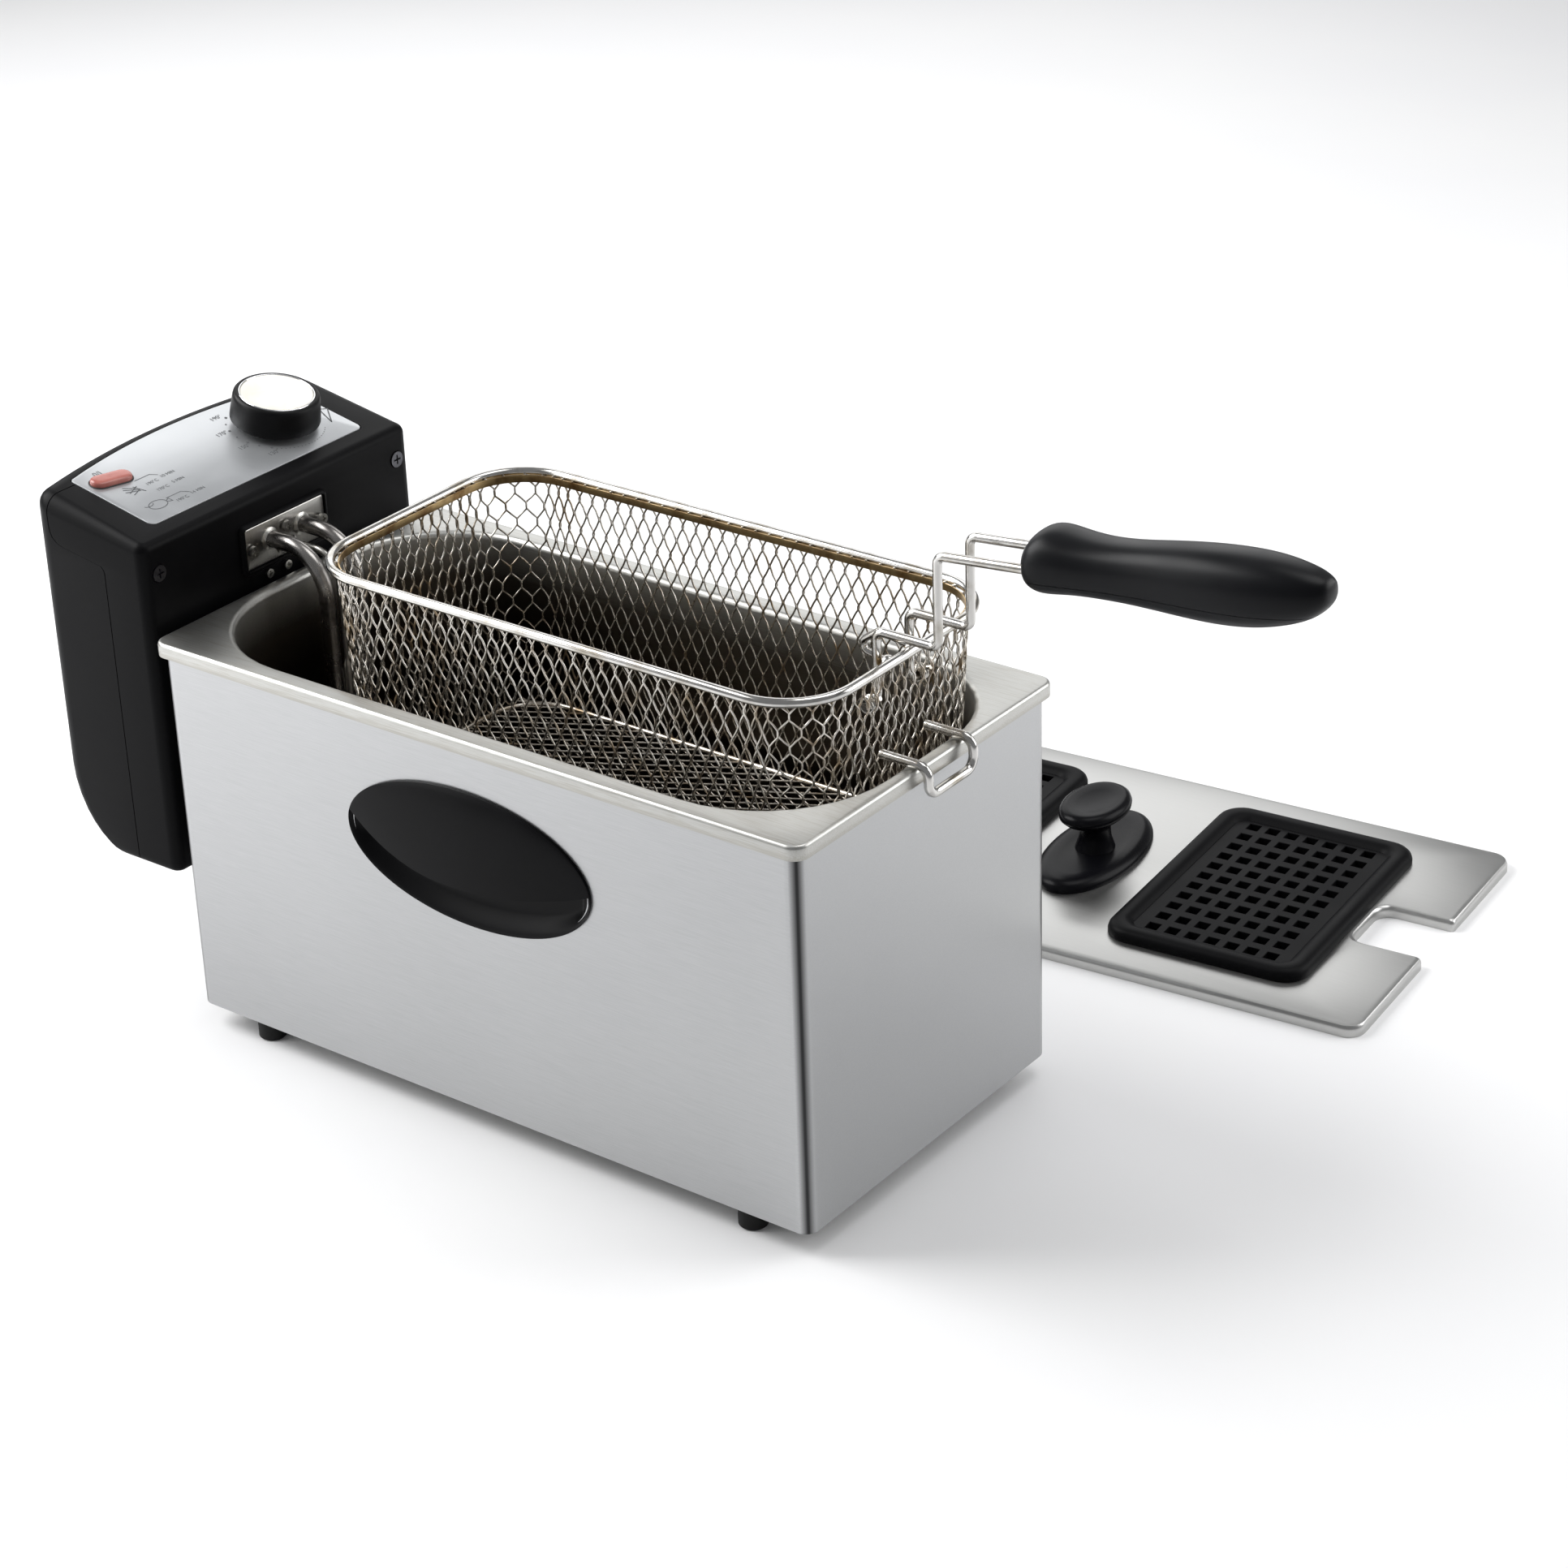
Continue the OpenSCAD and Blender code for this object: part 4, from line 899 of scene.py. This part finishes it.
def build_heating():
    box_low, box_high = low("heating_element"), high("heating_element")
    radius = 3.5
    leg_x, leg_y, loop_z, end_x = -135.5, 9.5, box_low[2] + radius, box_high[0] - radius
    half_loop = [(leg_x, leg_y, 100), (leg_x, leg_y, loop_z), (-108, leg_y, loop_z), (-108, 53, loop_z),
                 (end_x, 53, loop_z), (end_x, 25, loop_z), (-70, 25, loop_z)]
    floor_path = [(x, -y, z) for x, y, z in half_loop] + half_loop[::-1]
    parts = [tube(bend_path(floor_path, 10, 8), radius, 20)]
    for s in (-1, 1):
        path = [(box_low[0], s * leg_y, 195), (leg_x, s * leg_y, 195), (leg_x, s * leg_y, 100)]
        parts.append(tube(bend_path(path, 20, 14), radius, 20))
    make("heating_tube", *join_parts(parts), mat_element, "control_head", ("heating_element",), 60)
    for s, node in ((-1, "thermostat_probe"), (1, "cutout_probe")):
        path = bend_path([(FRONT - 18, s * 3, 189), (-140, s * 3, 189), (-140, s * 3, 141)], 12, 12)
        heights, radii = (142, 141, 139, 137, 62, 60.6, 60), (1.5, 1.6, 2.2, 2.5, 2.5, 2.0, 1.0)
        bulb = tube([(-140, s * 3, z) for z in heights], radii, 16)
        make(node + "_tube", *join_parts([tube(path, 1.5, 14), bulb]), mat_screw, "control_head", (node,), 60)
    paint_nodes(mat_zinc, 0.0, "element_terminals", "heat_shield", "probe_bracket")
    paint_nodes(mat_ceramic, 0.0, "thermostat_body", "thermal_cutout", "terminal_block")
    paint_nodes(mat_dark, 0.3, "lid_off_switch", "power_switch", "cord_gland")
    paint_nodes(mat_lead, 0.0, "internal_leads")
    paint_nodes(mat_screw_black, 0.12, "shell_screws")


# ---------------------------------------------------------------- basket


def basket_ring(l, w, r, count_corner=14, count_long=40, count_short=20):
    """Evenly spread outline points with their outward normals, from the front's left end."""
    points = []
    hl, hw = l / 2 - r, w / 2 - r
    # a side's start and end, its outward normal and how many points it gets
    sides = (((-hl, -w / 2), (hl, -w / 2), (0, -1), count_long),
             ((l / 2, -hw), (l / 2, hw), (1, 0), count_short),
             ((hl, w / 2), (-hl, w / 2), (0, 1), count_long),
             ((-l / 2, hw), (-l / 2, -hw), (-1, 0), count_short))
    for (a, b, n, count), quarter in zip(sides, (-90, 0, 90, 180)):
        for i in range(count):
            t = i / count
            points.append((a[0] + (b[0] - a[0]) * t, a[1] + (b[1] - a[1]) * t, *n))
        cx, cy = b[0] - n[0] * r, b[1] - n[1] * r
        for i in range(count_corner):
            t = math.radians(quarter + 90 * i / count_corner)
            points.append((cx + r * math.cos(t), cy + r * math.sin(t), math.cos(t), math.sin(t)))
    return np.array(points)


BASKET_R = 27.0
BASKET_DEPTH = 105.0
BASKET_DRAFT = 5.0


class BasketWall:
    """The basket's wall surface: distance round the rim and depth below it give a point and a normal."""

    def __init__(self, cx, cy, top, bottom, length, width):
        self.cx, self.cy, self.top, self.bottom = cx, cy, top, bottom
        self.length, self.width = length, width
        ring = basket_ring(length, width, BASKET_R)
        steps = np.linalg.norm(np.roll(ring[:, :2], -1, axis=0) - ring[:, :2], axis=1)
        self.along = np.concatenate([[0], np.cumsum(steps)])
        self.total = self.along[-1]
        self.rings = {}

    def ring(self, depth):
        """Outline points at a depth, remembered for the next call."""
        key = round(depth, 3)
        if key not in self.rings:
            inset = BASKET_DRAFT * depth / BASKET_DEPTH
            ring = basket_ring(self.length - 2 * inset, self.width - 2 * inset, BASKET_R - inset * 0.6)
            self.rings[key] = np.vstack([ring, ring[:1]])
        return self.rings[key]

    def at(self, s, depth, lift=0.0):
        """Point s millimetres round the rim, depth below it, lifted outwards."""
        ring = self.ring(depth)
        s = s % self.total
        k = int(np.searchsorted(self.along, s, side="right")) - 1
        k = min(k, len(ring) - 2)
        t = (s - self.along[k]) / max(1e-9, self.along[k + 1] - self.along[k])
        q = ring[k] * (1 - t) + ring[k + 1] * t
        n = q[2:] / np.linalg.norm(q[2:])
        return np.array([self.cx + q[0] + n[0] * lift, self.cy + q[1] + n[1] * lift, self.top - depth])


def build_basket():
    cx, cy, top = middle("basket_rim")
    end_x = high("basket_rim")[0]
    l, w, _ = high("basket_rim") - low("basket_rim")
    rim = [(cx + x, cy + y, top) for x, y in rounded_rect(l - 3.8, w - 3.8, 28, 14)]
    make("rim_wire", *tube(rim, 1.95, 16, closed=True), mat_chrome, "basket", ("basket_rim",), 60)
    wall = BasketWall(cx, cy, top, low("basket_mesh")[2] + 1.0, l - 8.0, w - 8.0)
    binding = []
    for lift, depth in ((-0.5, 0.4), (0.3, 2.0), (0.2, 3.4), (-0.7, 3.5), (-1.0, 2.0), (-1.0, 0.4)):
        binding.append([wall.at(s, depth, lift) for s in np.linspace(0, wall.total, 160, endpoint=False)])
    make("rim_band", *skin(binding, loop=True), mat_binding, "basket", (), 60)
    weave_walls(wall, cx)
    build_basket_wires(cy, top, end_x)


def weave_step(past):
    """Wire spacing and twist length by the distance past the corner's start, in millimetres."""
    if past < -4:
        return 3.4, 0.07
    if past < 10:
        return 2.5, 0.09
    if past < 24.5:
        return 4.4, 0.2
    return 3.0, 0.24


def weave_walls(wall, cx):
    """Zigzag wires that touch their neighbours, tight diamonds on the long sides and steps at the ends."""
    positions, twist = [], []
    s = 0.0
    while s < wall.total:
        step, hold = weave_step(abs(wall.at(s, 0)[0] - cx) - (wall.length / 2 - BASKET_R))
        positions.append(s)
        twist.append(hold)
        s += step
    if len(positions) % 2:
        positions.pop()
        twist.pop()
    positions = np.array(positions) * wall.total / (positions[-1] + 3.4)
    count = len(positions)
    rows, row_h, wire_r = 15, 7.0, 0.42
    parts = []
    for k in range(count):
        here = positions[k]
        before = positions[k - 1] - (wall.total if k == 0 else 0)
        after = positions[(k + 1) % count] + (wall.total if k == count - 1 else 0)
        side = 1 if k % 2 else -1
        points = []
        for j in range(rows + 1):
            towards, other = (after, before) if (j + k) % 2 else (before, after)
            mid = (here + towards) / 2
            for t in (-twist[k], 0, twist[k]):
                if 0 <= (j + t) * row_h <= rows * row_h:
                    points.append(wall.at(mid, (j + t) * row_h, side * wire_r * math.cos(t * math.pi)))
            if j < rows:
                points.append(wall.at((mid + (here + other) / 2) / 2, (j + 0.5) * row_h, 0.0))
        parts.append(tube(points, wire_r, 6))
    parts += weave_floor(wall, wire_r)
    make("basket_weave", *join_parts(parts), mat_weave, "basket", ("basket_mesh",), 80)


def weave_floor(wall, wire_r):
    """Diagonal wires under the food, cut to the basket's floor."""
    inset = 6.2
    half_l, half_w = wall.length / 2 - inset, wall.width / 2 - inset
    z, slope, gap = wall.bottom, 0.55, 10.5
    parts = []
    reach = half_l + half_w / slope
    for direction in (-1, 1):
        offset = -reach
        while offset < reach:
            x0 = offset - direction * half_w / slope
            dx, dy = 2 * direction * half_w / slope, 2 * half_w
            crossings = sorted((bound - x0) / dx for bound in (-half_l, half_l))
            t0, t1 = max(0.0, crossings[0]), min(1.0, crossings[1])
            if t1 - t0 > 0.05:
                points = [(wall.cx + x0 + dx * t, wall.cy - half_w + dy * t, z + direction * wire_r)
                          for t in np.linspace(t0, t1, 6)]
                parts.append(tube(points, wire_r, 6))
            offset += gap
    edge = [(wall.cx + x, wall.cy + y, z + 0.4) for x, y in
            rounded_rect(2 * half_l + 2.2, 2 * half_w + 2.2, 24, 10)]
    parts.append(tube(edge, 1.3, 10, closed=True))
    return parts


HANDLE_GAP = 10.5
PIVOT = (141.5, 200.0)


def build_basket_wires(cy, top, end_x):
    """Drain hook, handle rest with its ball, and the two eyelets."""
    hook_low, hook_high = low("basket_hook"), high("basket_hook")
    x1, half = hook_high[0] - 2.0, (hook_high[1] - hook_low[1]) / 2 - 2.0
    z1, z0 = hook_high[2] - 2.0, hook_low[2] + 2.0
    arm = [(hook_low[0] - 1, z1), (x1, z1), (x1, z0)]
    path = [(x, cy - half, z) for x, z in arm] + [(x, cy + half, z) for x, z in arm[::-1]]
    make("drain_hook", *tube(bend_path(path, 5, 8), 1.9, 16), mat_chrome, "basket", ("basket_hook",), 60)
    rest = [(end_x - 1.9, cy, top + 3.4), (end_x - 14, cy, top + 6.3), (end_x - 26.5, cy, top - 2.5),
            (end_x - 12, cy, top - 6)]
    parts = [tube(bend_path(rest, 3, 6), 1.5, 14)]
    ball_r = 3.0
    profile = [(ball_r * math.cos(a), ball_r * math.sin(a))
               for a in np.linspace(-math.pi / 2, math.pi / 2, 13)]
    parts.append(lathe(profile, facing(end_x - 11, cy, top - 6.2), 20))
    make("handle_stop", *join_parts(parts), mat_chrome, "basket", ("handle_rest",), 60)
    eyes = []
    coil_r, coil_w, whole = 2.9, 3.8, 5 * math.pi
    for s in (-1, 1):
        y = cy + s * (HANDLE_GAP + 5.8) - coil_w / 2
        coil = [(PIVOT[0] + coil_r * math.cos(a), y + coil_w * a / whole, PIVOT[1] + coil_r * math.sin(a))
                for a in np.linspace(0, whole, 50)]
        coil.append((end_x - 4.4, y + coil_w, PIVOT[1] + coil_r))
        eyes.append(tube(coil, 0.9, 10))
    make("handle_eyes", *join_parts(eyes), mat_chrome, "basket", ("handle_eyelets",), 60)


# ---------------------------------------------------------------- basket handle

RISE = math.radians(5.5)


def build_handle():
    cy = 5.5
    end_x, top = high("basket_rim")[0], middle("basket_rim")[2]
    step_x, low_z, high_z = end_x + 19.3, top + 11.5, top + 48.2
    grip_x = end_x + 54.7
    inside = grip_x + 25.0
    inside_z = high_z + (inside - step_x) * math.tan(RISE)
    for s, node in ((-1, "handle_wire_front"), (1, "handle_wire_rear")):
        y = cy + s * HANDLE_GAP
        path = [(PIVOT[0], y + s * 8.3, PIVOT[1]), (PIVOT[0], y, PIVOT[1]), (PIVOT[0], y, low_z),
                (step_x, y, low_z), (step_x, y, high_z), (inside, y, inside_z)]
        rod = tube(bend_path(path, 3.5, 8), 1.85, 16)
        make(node + "_rod", *rod, mat_chrome, "basket_handle", (node,), 60)
    build_grip(grip_x, cy, high_z + (grip_x - step_x) * math.tan(RISE))


def build_grip(x0, cy, z0):
    """A hand grip lofted from round sections along its rising axis: hump, waist, swell and blunt tip."""
    ux, uz = np.array([math.cos(RISE), 0, math.sin(RISE)]), np.array([-math.sin(RISE), 0, math.cos(RISE)])
    origin = np.array([x0, cy, z0])
    # distance along, upper edge, lower edge, half width
    stations = [(0.0, 4.5, -4.5, 5.5), (0.4, 7.4, -6.6, 10.0), (1.8, 9.8, -8.8, 12.6),
                (4.5, 12.4, -10.4, 13.8), (8.0, 13.8, -10.9, 14.2), (13.0, 13.7, -10.5, 14.0),
                (20.0, 12.3, -9.8, 13.3), (30.0, 11.4, -9.8, 12.3), (42.0, 11.9, -10.2, 11.8),
                (55.0, 13.4, -11.1, 12.4), (68.0, 14.6, -12.0, 13.4), (81.0, 15.2, -12.3, 14.2),
                (93.0, 15.0, -11.4, 14.0), (102.0, 14.1, -9.6, 12.8), (109.0, 12.7, -7.6, 11.2),
                (114.5, 11.3, -5.2, 9.4), (118.5, 9.6, -2.2, 7.0), (121.0, 8.0, 1.2, 4.2)]
    fullness = 0.86

    def at(d, y, z):
        return origin + ux * d + uz * z + np.array([0, y, 0])

    rings = []
    for d, up, down, half in stations:
        ring = []
        for c, s in ellipse(1, 1, 40):
            y = half * math.copysign(abs(c) ** fullness, c)
            z = (up + down) / 2 + (up - down) / 2 * math.copysign(abs(s) ** fullness, s)
            ring.append(at(d, y, z))
        rings.append(ring)
    body = raw("grip_top", *skin(rings))
    sub = body.modifiers.new("smooth", "SUBSURF")
    sub.levels = 2
    apply_modifiers(body)
    lower = duplicate(body, "grip_bottom")
    seam = -4.0

    def half_space(z_from, z_to):
        corners = [(-20, -40), (160, -40), (160, 40), (-20, 40)]
        return raw("half", *skin([[at(d, y, z) for d, y in corners] for z in (z_from, z_to)]))

    carve(body, half_space(seam + 0.12, 40), "INTERSECT")
    carve(lower, half_space(-40, seam - 0.12), "INTERSECT")
    for piece, node in ((body, "grip_upper"), (lower, "grip_lower")):
        dress(piece, mat_grip, "basket_handle", (node,), 35)
        bevel(piece, 0.35, 2, 60.0)
    paint_nodes(mat_screw, 0.0, "grip_screw")


# ---------------------------------------------------------------- lid

LID_TURN = math.radians(5.5)
LID_HALF = 164.0
GRILLE_U = 81.0


def lid_place(u, v, z):
    """Lid coordinates (along, across, up) in the row frame."""
    c, s = math.cos(LID_TURN), math.sin(LID_TURN)
    centre = middle("lid_panel")
    return (centre[0] + c * u - s * v, centre[1] + s * u + c * v, z)


def lid_outline(inset):
    """The lid's edge with its notch, moved inwards by inset."""
    hl, hw, r = LID_HALF - inset, 86.0 - inset, 8.0 - inset * 0.6
    notch_l, notch_w, notch_r = 34.0 + inset, 17.25 + inset, 7.5
    lip = 2.0
    points = arc(hl - r, -hw + r, r, -90, 0, 8)
    points += arc(hl - lip, -notch_w - lip, lip, 0, 90, 4)
    points += arc(LID_HALF - notch_l + notch_r, -notch_w + notch_r, notch_r, 270, 180, 6)
    points += mirrored(points)
    return points + arc(-hl + r, hw - r, r, 90, 180, 8) + arc(-hl + r, -hw + r, r, 180, 270, 8)


def build_lid():
    top = high("lid_panel")[2]
    # inset and height of each ring: up the outside of the edge and down its inside
    section = ((0.0, 0.0), (0.0, top - 2.2), (0.3, top - 1.1), (0.9, top - 0.35), (2.0, top),
               (2.0, top - 0.8), (0.8, top - 2.0), (0.8, 0.0))
    rings = [[lid_place(x, y, z) for x, y in lid_outline(inset)] for inset, z in section]
    n = len(rings[0])
    verts, faces = skin(rings, loop=True)
    # the ring pair 4-5 is the sheet itself: close its top and its underside instead of joining them
    faces = [f for f in faces if not (min(f) // n == 4 and max(f) // n == 5)]
    faces.append(tuple(range(4 * n, 5 * n)))
    faces.append(tuple(range(5 * n, 6 * n)))
    lid = make("lid_sheet", verts, faces, mat_lid, "lid", (), 30)
    for s in (-1, 1):
        opening = rounded_rect(76, 114.5, 6, 6, s * GRILLE_U)
        rings = [[lid_place(x, y, z) for x, y in opening] for z in (-5, 20)]
        carve(lid, raw("opening", *skin(rings)))
    dress(lid, mat_lid, "lid", ("lid_panel",), 30)
    for s, n in ((1, 1), (-1, 2)):
        build_grille(s, n, top)
    build_lid_knob(top)


def build_grille(side, number, top):
    """A soft-edged raised frame round a sunken field with rows of square holes."""
    cu = side * GRILLE_U
    l, w = 94.0, 132.5
    rows, columns, hole, pitch_u, pitch_v = 7, 11, 5.6, 9.3, 10.3

    # inset, height over the lid and corner radius of the frame's section, going inwards
    section = ((0, -0.1, 12), (0, 2.0, 12), (0.5, 3.6, 11.6), (1.6, 4.8, 10.8), (3.4, 5.4, 9.6),
               (6.0, 5.4, 8.4), (7.8, 4.9, 7.4), (9.0, 3.9, 6.6), (10.0, 2.9, 6.0), (10.0, -1.6, 6.0),
               (9.4, -1.6, 6.0), (9.4, -0.1, 6.0))
    rings = []
    for inset, rise, r in section:
        outline = rounded_rect(l - 2 * inset, w - 2 * inset, r, 8, cu, 0.0)
        rings.append([lid_place(x, y, top + rise) for x, y in outline])
    parts = [skin(rings, loop=True)]
    field_u, field_v = l / 2 - 10.0, w / 2 - 10.0
    lines = []
    for count, pitch, field in ((rows, pitch_u, field_u), (columns, pitch_v, field_v)):
        centres = [(i - (count - 1) / 2) * pitch for i in range(count)]
        lines.append([-field] + [c + s * hole / 2 for c in centres for s in (-1, 1)] + [field])
    parts.append(lattice(*lines, cu, top + 2.9, top - 1.6))
    name = f"lid_vent_{number}"
    piece = make(name, *join_parts(parts), mat_black, "lid", (f"lid_grille_{number}",), 35)
    bevel(piece, 0.45, 2, 60.0)
    paint_nodes(mat_filter, 0.0, f"grille_filter_{number}")
    paint_nodes(mat_zinc, 0.0, f"filter_clamp_{number}")


def lattice(u_lines, v_lines, cu, z1, z0):
    """A plate with a square hole in every odd cell of the grid."""
    verts = []
    index = {}

    def vertex(i, j, level):
        key = (i, j, level)
        if key not in index:
            index[key] = len(verts)
            verts.append(lid_place(cu + u_lines[i], v_lines[j], z1 if level else z0))
        return index[key]

    faces = []
    nu, nv = len(u_lines) - 1, len(v_lines) - 1
    solid = {(i, j): not (i % 2 and j % 2) for i in range(nu) for j in range(nv)}
    for (i, j), full in solid.items():
        if not full:
            continue
        a, b, c, d = (i, j), (i + 1, j), (i + 1, j + 1), (i, j + 1)
        faces.append(tuple(vertex(*q, 1) for q in (a, b, c, d)))
        faces.append(tuple(vertex(*q, 0) for q in (d, c, b, a)))
        edges = ((a, b, (i, j - 1)), (b, c, (i + 1, j)), (c, d, (i, j + 1)), (d, a, (i - 1, j)))
        for p, q, neighbour in edges:
            if not solid.get(neighbour, False):
                faces.append((vertex(*p, 0), vertex(*q, 0), vertex(*q, 1), vertex(*p, 1)))
    return verts, faces


def build_lid_knob(top):
    """The oval escutcheon and the dished oval mushroom knob."""
    # half length along, half length across and height over the lid of each ring
    seat = ((21, 41, 0), (21, 41, 1.2), (20.6, 40.6, 2.4), (19.6, 39.6, 3.6), (18.0, 38.0, 4.6),
            (15.5, 35.5, 5.1), (12.0, 29.0, 4.7), (9.2, 10.0, 4.3))
    knob = ((9.0, 9.8, 4.2), (8.4, 9.2, 6.0), (7.2, 8.0, 9.5), (6.8, 7.6, 14.0), (7.3, 8.4, 17.4),
            (10.0, 13.6, 19.9), (13.2, 19.3, 21.4), (14.7, 21.2, 23.0), (14.9, 21.5, 24.6),
            (14.3, 20.8, 26.4), (12.8, 18.9, 27.6), (10.9, 16.6, 27.8), (7.4, 11.6, 27.0),
            (3.2, 5.2, 26.5), (0.2, 0.3, 26.4))
    pieces = (("knob_seat", "lid_knob_base", 40, seat), ("lifting_knob", "lid_knob", 50, knob))
    for name, node, sharp, section in pieces:
        rings = [[lid_place(x - 1.2, y, top + rise) for x, y in ellipse(a, b, 64)] for a, b, rise in section]
        make(name, *skin(rings), mat_gloss, "lid", (node,), sharp)
    paint_nodes(mat_screw, 0.0, "lid_knob_screw")


# ---------------------------------------------------------------- stage


def build_stage():
    """A plain pale floor, soft studio light and the camera."""
    bpy.ops.mesh.primitive_plane_add(size=8.0, location=(0, 0, 0))
    floor = bpy.context.object
    floor.name = "floor"
    paint = Paint("floor", Roughness=0.7)
    paint.blend(paint.noise(3.0), (0.86, 0.86, 0.87), (0.88, 0.88, 0.88))
    floor.data.materials.append(paint.mat)
    world = bpy.data.worlds.new("studio")
    bpy.context.scene.world = world
    world.use_nodes = True
    world.node_tree.nodes["Background"].inputs["Color"].default_value = (0.97, 0.98, 1.0, 1)
    world.node_tree.nodes["Background"].inputs["Strength"].default_value = 0.25
    lights = (("key", (-1.15, -0.4, 1.15), (1.1, 1.1), 31.0), ("back", (-0.95, 1.25, 0.85), (1.5, 1.0), 7.0),
              ("top", (0.4, 0.5, 1.8), (1.0, 1.0), 9.0), ("end", (0.85, 0.85, 0.6), (0.8, 0.8), 7.5),
              ("front", (-0.8, -0.75, 0.4), (0.5, 0.5), 2.5))
    for name, place, size, power in lights:
        data = bpy.data.lights.new(name, "AREA")
        data.shape = "RECTANGLE"
        data.size, data.size_y = size
        data.energy = power
        lamp = bpy.data.objects.new(name, data)
        lamp.location = place
        aim = Vector((0.02, 0.05, 0.1)) - lamp.location
        lamp.rotation_euler = aim.to_track_quat("-Z", "Y").to_euler()
        bpy.context.scene.collection.objects.link(lamp)
    scene = bpy.context.scene
    scene.view_settings.view_transform = "Standard"
    data = bpy.data.cameras.new("camera")
    data.sensor_width = 36.0
    data.lens = 86.6
    data.clip_start = 0.05
    camera = bpy.data.objects.new("camera", data)
    target, distance = Vector((28.49, 82.74, 95.0)), 1573.75
    azimuth, elevation, roll = (math.radians(angle) for angle in (37.61, 27.13, 2.03))
    turned = (Matrix.Rotation(azimuth, 4, "Z") @ Matrix.Rotation(math.pi / 2 - elevation, 4, "X")
              @ Matrix.Rotation(-roll, 4, "Z"))
    position = (target + turned.to_3x3() @ Vector((0, 0, distance))) * MM
    camera.matrix_world = Matrix.Translation(position) @ turned
    bpy.context.scene.collection.objects.link(camera)
    bpy.context.scene.camera = camera


build_stage()
build_base()
build_tank()
build_head()
build_heating()
build_basket()
build_handle()
build_lid()
